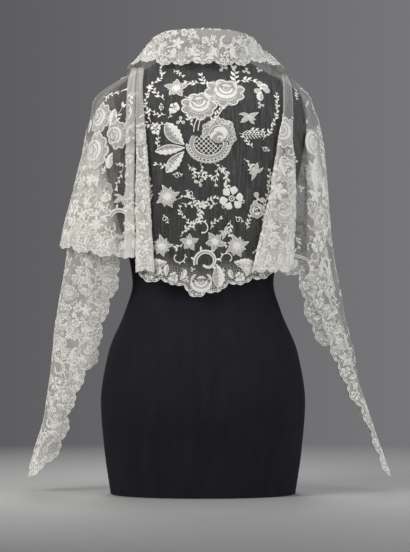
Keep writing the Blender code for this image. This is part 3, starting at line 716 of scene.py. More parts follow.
def leaf(start, degrees, length, width, bend=0.0, blunt=1.0, solid=1.0, lift=0.0, rows=7):
    """A leaf or petal: blunt above 1 moves its widest place to its far end."""
    t = np.linspace(0, 1, rows)
    heading = np.radians(degrees + bend * t)
    step = length / (rows - 1) * ways(heading)
    line = np.asarray(start, float) + np.vstack([[0, 0], np.cumsum((step[1:] + step[:-1]) / 2, axis=0)])
    if blunt > 1:
        half = width / 2 * np.sin(math.pi * t**blunt) ** (0.85 / math.sqrt(blunt))
    else:
        half = width / 2 * np.sin(math.pi * t**0.85) ** 0.9
    return band(line, np.maximum(half, 0.03 * width), solid, lift)


def outlined(start, degrees, length, width, bend=0.0, blunt=1.0, fill=0.4, cord=0.9, lift=0.0):
    """A leaf or petal of open work inside a corded rim."""
    line, half, *_ = leaf(start, degrees, length, width, bend, blunt, rows=9)
    run = unit(np.gradient(line, axis=0))
    out = left_of(run) * (half - cord / 3)[:, None]
    loop = np.vstack([line + out, (line - out)[::-1]])
    middle = leaf(start, degrees, length, width, bend, blunt, fill, lift)
    return [middle, band(loop, cord / 2, 1, lift + 0.3, True)]


def crescent(centre, radius, start, end, half, solid=1.0, lift=0.7, steps=10):
    """A petal's turned edge: an arc, widest in its middle."""
    taper = np.sin(math.pi * np.linspace(0.05, 0.95, steps)) ** 0.6
    return band(arc(centre, radius, start, end, steps), half * taper, solid, lift)


def petals(table, r, start=0.35, blunt=1.9, fill=0.5, cord=0.35):
    """Open petals from a table of turn, reach and width, as shares of r."""
    made = []
    for turn, reach, width in table:
        size = ((reach - start) * r, width * r)
        made += outlined(way(turn) * start * r, turn, *size, blunt=blunt, fill=fill, cord=0.025 * r + cord)
    return made


def daisy(r, count=6, ringlets=True):
    """A round flower of broad dense petals, with ringlets between some of them and a ringed eye."""
    made = []
    for i in range(count):
        turn = 360 / count * i + 6 * (i % 2)
        width = 2 * math.pi * r * (0.60 if i % 3 else 0.68) / count
        made.append(leaf(way(turn) * 0.3 * r, turn, (0.64 + 0.08 * (i % 2)) * r, width, blunt=1.3, lift=0.1))
        if ringlets and i % 2:
            made.append(ring(way(turn + 180 / count) * 0.92 * r, 0.12 * r, 0.05 * r + 0.3, lift=0.3, steps=8))
    return made + [ring((0, 0), 0.2 * r, 0.08 * r + 0.25), disc((0, 0), 0.07 * r + 0.1)]


# A star's petals: turn, reach and width, the last two as shares of its radius.
EIGHT_POINTS = (
    *((0, 1.0, 0.34), (50, 0.78, 0.3), (93, 1.0, 0.32), (140, 0.74, 0.3)),
    *((190, 0.96, 0.34), (232, 0.8, 0.3), (274, 0.92, 0.34), (322, 0.76, 0.3)),
)
FIVE_POINTS = ((4, 1.0, 0.46), (72, 0.86, 0.42), (148, 0.98, 0.46), (216, 0.84, 0.44), (286, 0.94, 0.44))


def star(r, points=8, corded=False):
    """A flower of pointed petals of uneven length round a dense heart, with a gauzy point beside each."""
    made = []
    for turn, reach, width in FIVE_POINTS if points < 6 else EIGHT_POINTS:
        start, size = way(turn) * 0.1 * r, ((reach - 0.1) * r, width * r)
        if corded:
            made += outlined(start, turn, *size, bend=16, fill=0.66, cord=0.03 * r + 0.35, lift=0.3)
        else:
            made.append(leaf(start, turn, *size, bend=16, lift=0.3))
        made.append(leaf(way(turn + 30) * 0.15 * r, turn + 30, 0.56 * r, 0.34 * r, solid=0.6))
    return made + [disc((0, 0), 0.33 * r, lift=0.6, steps=7)]


def ruff(r, inner, outer, lobes, depth, fill=0.5, turn=0.0, squash=1.0):
    """Gauze round a flower: a ring with a scalloped, corded outside, and short ribs between its lobes."""
    angles = np.linspace(0, 2 * math.pi, 6 * lobes, endpoint=False)
    wave = np.abs(np.sin(lobes * (angles - math.radians(turn)) / 2)) ** 0.7
    reach = outer * (1 + depth * (wave - 0.6) * (1 + 0.4 * np.sin(3 * angles)))
    way_out = np.column_stack([np.cos(angles), squash * np.sin(angles)])
    made = [
        band(way_out * (r * (inner + reach) / 2)[:, None], r * (reach - inner) / 2, fill, 0.0, True),
        band(way_out * (r * reach)[:, None], 0.022 * r + 0.25, 1, 0.3, True),
    ]
    for k in range(lobes):
        rib = math.radians(turn) + 2 * math.pi * k / lobes
        foot = np.array([math.cos(rib), squash * math.sin(rib)])
        made.append(band([foot * r * (inner + step) for step in (0, 0.12, 0.24)], 0.4, 1, 0.3))
    return made


# A cup rose's bowl: middle's height, radius, start and end of each crescent, half its width, how dense it is.
BOWL = (
    (0.30, 0.56, 184, 356, 0.110, 1.0),
    (0.30, 0.31, 178, 362, 0.080, 1.0),
    (0.13, 0.36, 50, 130, 0.055, 1.0),
    (0.18, 0.55, 122, 172, 0.075, 0.85),
    (0.18, 0.57, 6, 56, 0.080, 0.85),
)


def rose(r):
    """A cup rose seen from the side: a bowl of crescents under a dotted eye, and a gauze ruff behind."""
    made = ruff(r, 0.42, 0.93, 9, 0.34, 0.5, 8, 0.78)
    along = np.linspace(-0.97, 0.97, 9)
    middle = np.column_stack([(0.64 * along + 0.04) * r, -0.02 * r + 0 * along])
    made.append(band(middle, 0.31 * r * np.sqrt(1 - along**2), 0.58, 0.3))
    for rise, radius, start, end, half, solid in BOWL:
        made.append(crescent((0.04 * r, rise * r), radius * r, start, end, half * r, solid, 0.8))
    under = np.array([0.04, 0.3]) * r
    made += [disc(under + way(turn) * 0.78 * r, 0.03 * r + 0.15, 1, 0.9, 4) for turn in range(222, 319, 8)]
    eye = np.array([0.03, 0.29]) * r
    made += [disc(eye + way(turn) * 0.13 * r, 0.035 * r, 1, 1.0, 4) for turn in range(0, 360, 52)]
    return made


# A full rose's crescents: middle, radius, start, sweep and half width, the lengths as shares of its radius.
FULL_BOWL = (
    (0.00, 0.02, 0.55, 28, 96, 0.12),
    (0.03, -0.03, 0.52, 142, 112, 0.13),
    (-0.03, 0.00, 0.53, 268, 100, 0.12),
    (0.06, 0.02, 0.28, 70, 150, 0.10),
    (0.02, -0.05, 0.30, 238, 140, 0.10),
)


def full_rose(r):
    """A rose seen from above: crescents wound round its heart, and a ruff of rounded petals."""
    made = ruff(r, 0.55, 0.95, 8, 0.22, 0.6, 12)
    for x, y, radius, turn, sweep, half in FULL_BOWL:
        centre = (x * r, y * r)
        lift = 0.6 + 0.3 * (radius < 0.4)
        made.append(crescent(centre, radius * r, turn, turn + sweep, half * r, lift=lift))
    return made + [disc((0.05 * r, -0.02 * r), 0.09 * r, lift=0.9)]


def lily(r):
    """A trumpet flower with long turned-back points."""
    made = outlined((-0.9 * r, -0.1 * r), 8, 1.1 * r, 0.4 * r, blunt=1.5, fill=0.7, lift=0.4)
    for turn, length, bend in ((78, 0.8, 50), (34, 1.0, -40), (-6, 0.8, 30), (-52, 0.95, 46), (118, 0.6, 30)):
        made += outlined((-0.05 * r, 0), turn, length * r, 0.29 * r, bend=bend, fill=0.7, cord=0.7, lift=0.5)
    return made


# The medallion, in millimetres from the middle of its lattice.
LATTICE = (22.0, 17.0, 5.4)  # half its width, half its height, spacing
CUT = (16.0, 14.0, 15.5)  # middle and radius of the round bite the scrolled petal takes out of it


def medallion():
    """Lattice in a double crescent rim with a ruff below, and a great scrolled petal over its corner."""
    wide, tall, gap = LATTICE

    def held(spots):
        bitten = np.hypot(spots[:, 0] - CUT[0], spots[:, 1] - CUT[1]) < CUT[2]
        return (np.hypot(spots[:, 0] / wide, spots[:, 1] / tall) < 1) & ~bitten

    made = []
    steps = np.arange(-8, 9) * gap
    for tilt in (45, -45):
        for offset in steps:
            line = turned([(x, offset) for x in np.arange(-26, 26.1, 1.3)], tilt)
            ok = held(line)
            starts = np.flatnonzero(np.diff(np.concatenate([[0], ok.astype(int), [0]])))
            made += [band(line[a:b], 0.5, 1, 0.3) for a, b in zip(starts[::2], starts[1::2]) if b - a > 1]
    nodes = turned([(a, b) for a in steps for b in steps], 45)
    made += [disc(spot, 1.15, 1, 0.6, 4) for spot in nodes[held(nodes)]]

    def rim(out, start, end, step=6):
        angles = np.radians(np.arange(start, end + 1, step))
        return np.column_stack([(wide + out) * np.cos(angles), (tall + out) * np.sin(angles)])

    made += [band(rim(1.6, 140, 372), 0.75, 1, 0.7), band(rim(8.2, 150, 366), 0.6, 1, 0.7)]
    made.append(band(rim(4.9, 146, 368), 3.0, 0.45, 0.1))
    for spot in rim(4.9, 150, 366, 9):
        made.append(disc(spot, 0.6, 1, 0.5, 4))
    for spot, turn in zip(rim(8.6, 186, 360, 11), range(186, 361, 11)):
        made += outlined(spot, turn, 6.2, 6.4, blunt=1.9, fill=0.75, cord=0.9)
    made.append(band(arc(CUT[:2], 18.4, 186, -34, 26), 3.6, 0.5, 0.8))
    made += [band(arc(CUT[:2], 15.0, 184, -40, 24), 0.7, 1, 1.1), disc(CUT[:2], 13.5, 0.55, 0.9, 9)]
    for k, turn in enumerate(range(-32, 190, 18)):
        size = 6.5 + 2.5 * (k % 3 == 1)
        made += outlined(np.array(CUT[:2]) + way(turn) * 20.5, turn, size, 8.6, blunt=1.7, fill=0.6, cord=0.9)
    made.append(crescent((17, 14), 9.0, 150, -40, 4.6, lift=1.2, steps=16))
    made.append(crescent((12, 9), 8.0, 196, 84, 3.0, lift=1.3, steps=12))
    made.append(crescent((18, 8), 3.8, 200, -70, 1.8, lift=1.5, steps=9))
    return made


def scroll(r, sweep=300, start=200, double=True, leaves=0):
    """A curl of one or two corded lines, gauze between them, with leaves along its outside."""
    t = np.linspace(0, 1, 26)
    angle = np.radians(start - sweep * t)
    reach = r * (1 - 0.62 * t**1.3)
    line = reach[:, None] * ways(angle)
    made = [band(line, 0.05 * r + 0.2, 1, 0.5)]
    if double:
        made += [band(line * 0.76, 0.035 * r + 0.15, 1, 0.5), band(line[:22] * 0.88, 0.07 * r, 0.4, 0.1)]
    for i in range(leaves):
        spot, turn = line[2 + 4 * i] * 1.02, math.degrees(angle[2 + 4 * i])
        made.append(leaf(spot, turn - 30, (0.3 + 0.1 * (i % 2)) * r, 0.17 * r, lift=0.3))
    return made + [disc(line[-1], 0.1 * r + 0.1)]


def tendril(r):
    """A thin curl with three small leaves."""
    t = np.linspace(0, 1, 18)
    angle = np.radians(-80 + 420 * t)
    reach = r * (0.75 - 0.55 * t)
    line = reach[:, None] * ways(angle)
    made = [band(line, 0.5, 1, 0.5), disc(line[-1], 1.1)]
    for k, side in ((1, 1), (4, -1), (7, 1)):
        made.append(leaf(line[k], math.degrees(angle[k]) + 90 - 60 * side, 0.5 * r, 0.26 * r))
    return made


# A sprig's leaves: share of the way along it, turn from it, and share of the leaf length.
SPRIG_LEAVES = (
    *((0.16, 58, 0.8), (0.3, 40, 1.05), (0.46, 66, 0.75)),
    *((0.58, 44, 1.0), (0.74, 60, 0.7), (0.86, 36, 0.9)),
)


def stem(length, bend, wave=0.0):
    t = np.linspace(0, 1, 11)
    heading = np.radians(bend * t + wave * np.sin(2 * math.pi * t))
    steps = ways(heading)[1:] * length / 10
    return t, heading, np.vstack([[0, 0], np.cumsum(steps, axis=0)])


def spray(length, leaves=5, size=7.0, bend=30.0):
    """A thin sprig: leaves of uneven size set alternately along it, and a forked tip."""
    t, heading, line = stem(length, bend, 14)
    made = [band(line, 0.42, 1, 0.4)]
    for i, (at, turn, share) in enumerate(SPRIG_LEAVES[: leaves + 1]):
        spot = np.array([np.interp(at, t, line[:, k]) for k in (0, 1)])
        side = 1 if i % 2 else -1
        ahead = math.degrees(np.interp(at, t, heading))
        long = size * share
        made.append(leaf(spot, ahead + turn * side, long, long * 0.45, bend=-18 * side, rows=5))
    last = math.degrees(heading[-1])
    for turn, share in ((26, 0.9), (-30, 0.75)):
        made.append(leaf(line[-1], last + turn, size * share, size * 0.42, lift=0.3, rows=5))
    return made


def fern(length, bend=20.0):
    """A stem with many thin leaflets."""
    t, heading, line = stem(length, bend)
    made = [band(line, 0.4, 1, 0.4)]
    for at in np.linspace(0.12, 1, 8):
        spot = np.array([np.interp(at, t, line[:, k]) for k in (0, 1)])
        turn = math.degrees(np.interp(at, t, heading))
        for side in (1, -1):
            made.append(leaf(spot, turn + 44 * side, length * 0.26 * (1.15 - 0.5 * at), 1.8, rows=4))
    return made


def big_leaf(length, width, bend=20.0, open_side=1):
    """A long leaf, one half dense and toothed, the other a corded edge over short bars."""
    line, half, *_ = leaf((0, 0), 0, length, width, bend, 1.25, rows=13)
    run = unit(np.gradient(line, axis=0))
    out = left_of(run)
    made = [band(line, 0.55, 1, 0.7)]
    for side in (1, -1):
        if side == open_side:
            made.append(band(line + out * (side * half * 0.92)[:, None], 0.6, 1, 0.5))
            made.append(band(line + out * (side * half * 0.5)[:, None], half * 0.5, 0.4, 0.1))
            for k in range(2, 12, 2):
                foot, tip = line[k], line[k] + out[k] * side * half[k] * 0.9 + run[k] * half[k] * 0.3
                made.append(band([foot, (foot + tip) / 2, tip], 0.35, 1, 0.4))
        else:
            teeth = 1 + 0.26 * np.cos(np.arange(13) * math.pi)
            made.append(band(line + out * (side * half * 0.55)[:, None], half * 0.46 * teeth, 1, 0.3))
    return made


def six_dots(r):
    rings = [ring(way(60 * i) * 0.62 * r, 0.2 * r, 0.13 * r + 0.15, steps=8) for i in range(6)]
    return [*rings, disc((0, 0), 0.2 * r)]


def trefoil(r):
    three = petals([(turn, 1.0, 0.7) for turn in (90, 210, 330)], r, 0.05, 1.7, 0.75)
    return [*three, disc((0, 0), 0.18 * r)]


class Lace:
    """The needle lace drawn on a stretch, gathered as bands until it is built."""

    def __init__(self, stretch):
        self.stretch, self.bands, self.taken = stretch, [], []

    def put(self, motif, place, turn=0.0, room=None):
        """Sets a motif at a flat place, turned as seen from outside."""
        spread = self.stretch.spread(place)
        for points, half, solid, lift, closed in motif:
            self.add(turned(points, turn), half, solid, lift, closed, np.asarray(place, float), spread)
        if room:
            self.taken.append((place[0], place[1], room))

    def trace(self, flat, half, solid=1.0, lift=0.4):
        """Draws a band along flat places near enough to true sizes."""
        self.add(*band(flat, half, solid, lift), np.zeros(2), np.eye(2))

    def add(self, points, half, solid, lift, closed, origin, spread):
        if closed:
            run = unit(np.roll(points, -1, axis=0) - np.roll(points, 1, axis=0))
        else:
            run = unit(np.gradient(points, axis=0))
        out = left_of(run) * half[:, None]
        rows = np.stack([points + out, points, points - out], axis=1) @ spread.T + origin
        self.bands.append((rows, half, solid, lift, closed))

    def chain(self, places, size, gap):
        """A leafy stem along flat places, its leaves by turns on one side and the other."""
        line = curve_through(places, STEM_STEP)
        self.trace(line, 0.4)
        for i, k in enumerate(range(2, len(line) - 1, max(2, round(gap / STEM_STEP)))):
            spread = self.stretch.spread(line[k])
            true = np.linalg.inv(spread) @ (line[k] - line[k - 1])
            turn = math.degrees(math.atan2(true[1], true[0]))
            for side in (1, -1) if i % 3 == 2 else ((-1) ** i,):
                long = size * (0.85 + 0.3 * ((i * 7) % 5) / 4)
                lean = (38 + 9 * (i % 3)) * side
                self.put([leaf((0, 0), turn + lean, long, long * 0.48, bend=-20 * side, rows=5)], line[k])

    def free(self, place, room):
        return all(math.hypot(place[0] - x, place[1] - y) > room + other for x, y, other in self.taken)

    def build(self):
        """One mesh of every band that lies wholly inside the stretch."""
        outline = self.stretch.outline
        middles = np.vstack([rows[:, 1] for rows, *_ in self.bands])
        keep = inside(outline, middles)
        counts = np.cumsum([len(rows) for rows, *_ in self.bands])[:-1]
        kept = [b for b, ok in zip(self.bands, np.split(keep, counts)) if ok.all()]
        flat = np.vstack([rows.reshape(-1, 2) for rows, *_ in kept])
        raised, solid, faces, first = [], [], [], 0
        for rows, half, dense, lift, closed in kept:
            crown = CROWN * np.clip(half / 1.2, 0.4, 2.0)
            raised.append(np.column_stack([0 * half, crown, 0 * half]) + LIFT * (1 + lift))
            solid.append(np.full(rows.shape[:2], dense))
            count = len(rows)
            for k in range(count if closed else count - 1):
                a, b = first + 3 * k, first + 3 * ((k + 1) % count)
                faces += [(a + 1, a + 2, b + 2, b + 1), (a, a + 1, b + 1, b)]
            first += 3 * count
        out = self.stretch.slopes(flat)[2]
        points = self.stretch.at(flat) + out * np.concatenate([r.ravel() for r in raised])[:, None]
        place = np.column_stack([flat, np.zeros(len(flat))])
        dense = np.concatenate([s.ravel() for s in solid])
        return new_mesh(self.stretch.name + "_lace", points, faces, [("dense", dense)], [("flat", place)])


# ---------------------------------------------------------------- outlines of the stretches
def neck_turn_at(body, seam):
    turns = np.linspace(1, 60, 237)
    heights = smooth(NECK_LINE, turns)[:, 0]
    spots = np.array([body.at_turn(t, z) for t, z in zip(turns, heights)])
    miss = np.abs(body.at(spots)[:, 0] - smooth(seam, heights)[:, 0])
    return float(turns[np.argmin(miss)])


def neck_edge(body, start, end, count, drop=0.0):
    turns = np.linspace(start, end, count)
    return [body.at_turn(t, z - drop) for t, z in zip(turns, smooth(NECK_LINE, turns)[:, 0])]


def seam_line(seam, high, low):
    heights = np.linspace(high, low, SEAM_POINTS)
    return np.column_stack([smooth(seam, heights)[:, 0], heights])


def back_stretch(left_body, right_body):
    top = []
    for body, seam in ((right_body, SEAM_RIGHT), (left_body, SEAM_LEFT)):
        spots = np.array(neck_edge(body, neck_turn_at(body, seam) + SEAM_TURN, 90, 25))
        half = body.at(spots)[:, [0, 2]]
        top.append(half if body.sign < 0 else half[::-1])
    top = np.vstack([top[0], top[1][1:]])
    left = seam_line(SEAM_LEFT, top[-1][1], BACK_HEM[0][1]) - [SEAM / 2, 0]
    right = seam_line(SEAM_RIGHT, top[0][1], BACK_HEM[-1][1]) + [SEAM / 2, 0]
    hem = Edge([left[-1], *BACK_HEM[1:-1], right[-1]], HEM_SCALLOPS)
    outline = np.vstack([left[:-1], hem.outline(), right[::-1][1:-1], top[:-1]])
    return Stretch("back", outline, on_back, -1, [hem])


def fold_stretch(name, rows):
    heights, lengths_down = fold_lengths(rows)
    low = -float(np.interp(-rows[-1][0], -heights, lengths_down))
    width = FOLD_GIRTH * abs(rows[-1][1] - rows[-1][2])
    foot = Edge([(width, low), (width / 2, low), (0, low)], FOLD_SCALLOPS)
    top = [(share * width, 0.0) for share in np.linspace(0, 1, 21)]
    down = np.arange(-5, low, -5)
    right_side, left_side = [(width, d) for d in down], [(0.0, d) for d in down[::-1]]
    outline = np.vstack([top, right_side, foot.outline(), left_side])
    facing = 1 if rows[0][1] > 0 else -1
    return Stretch(name, outline, on_fold(rows), facing, [foot], False, (width, 1))


def side_stretch(name, body, seam, hem, hem_front, front, end_turn, drop=0.0):
    turn = neck_turn_at(body, seam) - SEAM_TURN
    top = neck_edge(body, turn, end_turn, NECK_POINTS, drop)
    line = seam_line(seam, top[0][1], hem[0][1])
    back = [body.from_behind(x + body.sign * SEAM / 2, z) for x, z in line]
    foot = [back[-1], *(body.from_behind(x, z) for x, z in hem[1:]), *hem_front, *front, top[-1]]
    edge = Edge(foot, HEM_SCALLOPS)
    outline = np.vstack([[top[0]], back[1:-1], edge.outline(), top[::-1][1:-1]])
    return Stretch(name, outline, body.at, body.sign, [edge])


def front_stretch(name, body, back_edge, plain_above, front_edge, top_turns, drop=0.0):
    top = neck_edge(body, *top_turns, NECK_POINTS, drop)
    down = [body.from_behind(x, z) for x, z in back_edge]
    inner = Edge([top[0], *down[::-1], TIP], END_SCALLOPS, 1, plain_above)
    outer = Edge([TIP, *front_edge, top[-1]], END_SCALLOPS)
    outline = np.vstack([inner.outline(), outer.outline()[1:], top[::-1][1:-1]])
    return Stretch(name, outline, body.at, body.sign, [inner, outer])


def collar_stretch(*bodies):
    strip = Collar(*bodies)
    edge = Edge([(a, 0.0) for a in np.linspace(COLLAR_HALF, -COLLAR_HALF, 60)], COLLAR_SCALLOPS, -1)
    edge.base[:, 1] = strip.fall(edge.base[:, 0])
    edge.along = np.abs(edge.base[:, 0] - edge.base[0, 0])
    foot = [(a, -COLLAR_STAND) for a in np.linspace(-COLLAR_HALF, COLLAR_HALF, 101)]
    outline_edge = edge.outline()
    ends = np.arange(-COLLAR_STAND + 3, outline_edge[0, 1] - 2, 3)
    left_end, right_end = [(COLLAR_HALF, w) for w in ends], [(-COLLAR_HALF, w) for w in ends[::-1]]
    outline = np.vstack([foot, left_end, outline_edge, right_end])
    return Stretch("collar", outline, strip.at, 1, [edge], False, (1, 1), -1)


# ---------------------------------------------------------------- the lace pattern
# How deep in from a hem its border lies: two cords, the ringlets, the ring flowers, the leaves beside them,
# the small leaves, the trefoils between lobes, the scrolled lines, the gauze between them and their leaves.
CORDS, RINGLETS, FLOWERS = (0.6, 3.6), 2.4, 13.5
BESIDE, SMALL_LEAVES, BETWEEN = 10.0, 7.5, 9.0
SCROLLED, GAUZE, SCROLL_LEAVES, SCROLL_WAVE = (27.5, 31.0), 29.2, 33.0, 5.0


def border(lace, edge, start=0.0, end=None, scrolls=True):
    """An edge's border: corded scallops, a ring flower and leaves in each lobe, and scrolled lines."""
    end = edge.length if end is None else end
    at = np.arange(start, end, 1.6)
    lace.trace(edge.place(at, CORDS[0])[0], 0.6, lift=0.8)
    lace.trace(edge.place(at, CORDS[1])[0], 0.4, lift=0.5)
    small = edge.length / edge.smalls
    for k in range(math.ceil(start / small), math.floor(end / small)):
        spots, out = edge.place((k + 0.5) * small, RINGLETS)
        turn = angle_of(lace, spots[0], out[0])
        lace.put([ring((0, 0), 1.5, 1.0, steps=8)], spots[0])
        lace.put([leaf((0, 0), turn + 90 + s, 4.6, 2.2, bend=-s, rows=5) for s in (-24, 156)], spots[0])
    wide = edge.length / edge.lobes
    for k in range(math.ceil(start / wide - 0.5), math.floor(end / wide + 0.5)):
        middle = (k + 0.5) * wide
        if not start < middle < end:
            continue
        spots, out = edge.place(middle, FLOWERS)
        turn = angle_of(lace, spots[0], out[0])
        if not lace.free(spots[0], 3):
            continue
        lace.put(RING_FLOWERS[k % 3], spots[0], turn, 9)
        for side in (1, -1):
            beside = edge.place(middle + side * 11, BESIDE)[0][0]
            lace.put(big_leaf(16 + 3 * (k % 2), 8.5, side * 30, side), beside, turn + 180 - side * 26, 5)
            near = edge.place(middle + side * 8, SMALL_LEAVES)[0][0]
            lace.put([leaf((0, 0), turn - side * 60, 7, 3.4)], near)
        lace.put(trefoil(5.6), edge.place((k + 1) * wide, BETWEEN)[0][0], turn + 90, 4)
    if scrolls:
        along = np.arange(start, end, 2.0)
        spots, out = edge.place(along, 0)
        wave = SCROLL_WAVE * np.sin(2 * math.pi * along / (2 * wide))
        for depth, look in (*((depth, (0.55, 1.0, 0.6)) for depth in SCROLLED), (GAUZE, (1.6, 0.4, 0.2))):
            lace.trace(spots - out * (depth + wave)[:, None], *look)
        for k in range(4, len(along) - 4, 9):
            turn = angle_of(lace, spots[k], -out[k])
            place = spots[k] - out[k] * (SCROLL_LEAVES + SCROLL_WAVE * math.sin(math.pi * along[k] / wide))
            lace.put([leaf((0, 0), turn + 40 * (-1) ** k, 7, 3.0, bend=20)], place)


def angle_of(lace, place, direction):
    """The turn, as seen from outside, of a flat direction."""
    true = np.linalg.inv(lace.stretch.spread(place)) @ direction
    return math.degrees(math.atan2(true[1], true[0]))


def fill(lace, spacing, within, seed, sizes=(0.8, 1.15), kinds=()):
    """Scattered flowers, leaves and sprays wherever there is room and the chance given by within allows."""
    rng = np.random.default_rng(seed)
    outline = lace.stretch.outline
    low, high = outline.min(axis=0), outline.max(axis=0)
    kinds = kinds or FILLERS
    rows = np.arange(low[1], high[1], spacing * 0.87)
    along = np.arange(low[0], high[0], spacing)
    spots = [(a + (j % 2) * spacing / 2, b) for j, b in enumerate(rows) for a in along]
    spots = np.array(spots) + rng.uniform(-0.22, 0.22, (len(spots), 2)) * spacing
    picks, scales = rng.integers(len(kinds), size=len(spots)), rng.uniform(*sizes, len(spots))
    turns, chances = rng.uniform(0, 360, len(spots)), rng.random(len(spots))
    room, within_outline = 0.30 * spacing, inside(outline, spots)
    for spot, pick, size, turn, chance, ok in zip(spots, picks, scales, turns, chances, within_outline):
        if ok and chance < within(spot) and lace.free(spot, room):
            motif = [(p * size, h * (0.5 + 0.5 * size), s, l, c) for p, h, s, l, c in kinds[pick]]
            lace.put(motif, spot, turn, room)


RING_FLOWERS = (
    six_dots(7.2) + [ring((0, 0), 7.8, 0.9, steps=20)],
    daisy(8.0, 6, False),
    [ring((0, 0), 3.4, 1.6), *(leaf(way(t) * 3.6, t, 5.2, 3.8, blunt=1.7) for t in range(0, 360, 60))],
)
FILLERS = [
    daisy(8.0, 5),
    star(8.5, 5),
    spray(16, 3, 6.5),
    scroll(7.5, 300, 120, True, 3),
    daisy(6.5, 5, False),
    trefoil(7.5),
    spray(14, 3, 6.0, -40),
    big_leaf(15, 7.5, 24),
    full_rose(9.0),
]
SPARSE = [spray(22, 4, 6.5, 30), spray(18, 3, 6.5, -40), trefoil(7)]
SMALL_FILLERS = [
    [leaf((0, 0), 0, 6.5, 3.4), leaf((0, 0), 130, 5.5, 3.0)],
    [ring((0, 0), 1.9, 1.0, steps=8)],
    trefoil(4.2),
    [disc((0, 0), 1.5), leaf((1.5, 0), 20, 6.5, 3.2), leaf((-1.5, 0), 200, 5.5, 3.0)],
    six_dots(3.6),
]

# The back's design: motif, across and height of its middle, turn in degrees as seen from behind.
BACK_MOTIFS = (
    (medallion(), -9, 569, 0, 34),
    (rose(28), 6, 630, 10, 22),
    (rose(31), -35, 652, -6, 26),
    (star(21, 5, corded=True), 43, 660, 8, 18),
    (star(21, 8, corded=True), 57, 484, 14, 20),
    (daisy(20, 6), -46, 481, 9, 19),
    (lily(19), -74, 613, 200, 14),
    (trefoil(15), -94, 660, 16, 12),
    (big_leaf(20, 11, 30), -94, 655, 250, 4),
    (big_leaf(18, 10, -30, -1), -88, 664, 20, 4),
    (trefoil(12), -88, 480, 20, 12),
    (full_rose(12), -86, 462, -30, 10),
    (lily(17), -84, 524, 60, 12),
    (daisy(9, 5, False), 76, 593, 20, 8),
    (daisy(9.5, 5, False), 46, 627, -10, 8),
    (big_leaf(46, 24, -34), 30, 568, 146, 6),
    (big_leaf(48, 16, 10, -1), 29, 562, 182, 4),
    (big_leaf(44, 19, 16, -1), 30, 556, 222, 4),
    (star(19, 8, corded=True), 66, 405, 0, 17),
    (star(16, 5, corded=True), 22, 411, 10, 13),
    (star(18, 5, corded=True), -19, 412, -30, 13),
    (star(21, 8, corded=True), -54, 405, 12, 18),
    (scroll(21, 320, 196, True, 5), -6, 380, 0, 20),
    (scroll(15, 250, 150, False, 3), 2, 432, 20, 8),
    (scroll(12, 230, 20, False, 3), 40, 388, 0, 9),
    (scroll(12, 230, 200, False, 3), -40, 384, 0, 9),
    (lily(13), -36, 426, 60, 8),
    (full_rose(10), 84, 372, 0, 9),
    (full_rose(10), -72, 372, 0, 9),
    (rose(29), 4, 341, 0, 22),
    (big_leaf(40, 24, 24), 34, 376, 262, 10),
    (big_leaf(38, 20, -20, -1), -22, 376, 284, 9),
    (big_leaf(34, 17, -30), 58, 380, 200, 8),
    (big_leaf(34, 17, 30, -1), -50, 380, 340, 8),
    (tendril(8), 61, 448, 0, 7),
    (tendril(8), -57, 447, 30, 7),
    (tendril(8), 41, 518, 60, 7),
    (tendril(8), 20, 490, 200, 7),
    (tendril(7), 66, 628, 150, 6),
    (tendril(7), -100, 560, 40, 6),
)
# Sprays: length, leaves, leaf length, bend, across and height of the foot, turn as seen from behind.
BACK_SPRAYS = (
    (34, 5, 11, 20, -54, 664, 84),
    (22, 3, 9, -20, -60, 672, 20),
    (24, 4, 8.5, -24, -10, 664, 136),
    (20, 3, 8, 24, 6, 668, 160),
    (34, 5, 8, 26, 62, 640, 118),
    (30, 5, 7, -30, 84, 606, 204),
    (26, 4, 6.5, 40, 60, 600, 160),
    (22, 4, 6, 30, 16, 532, 262),
    (34, 5, 6.5, 50, 24, 536, 292),
    (28, 4, 7, -46, 48, 540, 214),
    (40, 6, 7, -40, -30, 534, 300),
    (26, 4, 6, 40, -24, 530, 240),
    (24, 4, 7, 20, -70, 590, 350),
    (26, 4, 6, -24, 60, 616, 176),
    (24, 4, 6, 26, 56, 610, 40),
    (34, 5, 7.5, 34, 34, 474, 330),
    (30, 5, 7.5, -30, -24, 474, 196),
    (22, 3, 8, 0, 5, 468, 268),
    (26, 4, 6, 24, 12, 430, 116),
    (24, 4, 6, -30, -12, 432, 64),
    (20, 4, 6, 30, -70, 432, 60),
    (22, 3, 7, 30, -44, 446, 250),
)
BACK_FERNS = ((40, 24, -58, 586, -14), (26, 20, -100, 430, 40))  # length, bend, foot, turn
BACK_SPRAY_LEAVES = 1.06  # how much longer the leaves of the back's sprays are than in their table
BACK_HEM_FILLED = 0.22  # share of the small places near the back's hem that are filled
SPRAY_ROOM = 5  # how near a spray's foot other lace may come
STEM_STEP = 2.5  # spacing of the points along a stem
CHAIN_LEAVES = (6.2, 6)  # length and spacing of the leaves on a chain
BACK_STEMS = (
    ((15, 588), (13, 600), (8, 612)),
    ((8, 590), (6, 602), (2, 612)),
    ((-10, 594), (-20, 608), (-32, 626)),
)
BACK_CHAINS = (
    ((-8, 594), (-18, 612), (-33, 630)),
    ((14, 594), (20, 606), (28, 616)),
    ((30, 646), (20, 642)),
    ((-18, 538), (-34, 524), (-36, 508), (-40, 500)),
    ((4, 538), (-2, 522), (-18, 512)),
    ((84, 604), (92, 636), (84, 664), (66, 680), (70, 696)),
    ((-96, 576), (-112, 598), (-120, 628), (-118, 655)),
    ((-66, 545), (-82, 530)),
    ((40, 480), (24, 486), (8, 472), (-8, 478), (-26, 484)),
    ((36, 420), (24, 436), (10, 446), (5, 460)),
    ((88, 470), (84, 500), (94, 530), (96, 562)),
    ((-96, 440), (-100, 470), (-106, 500), (-108, 530)),
    ((-30, 414), (-40, 404)),
    ((30, 410), (46, 400)),
)


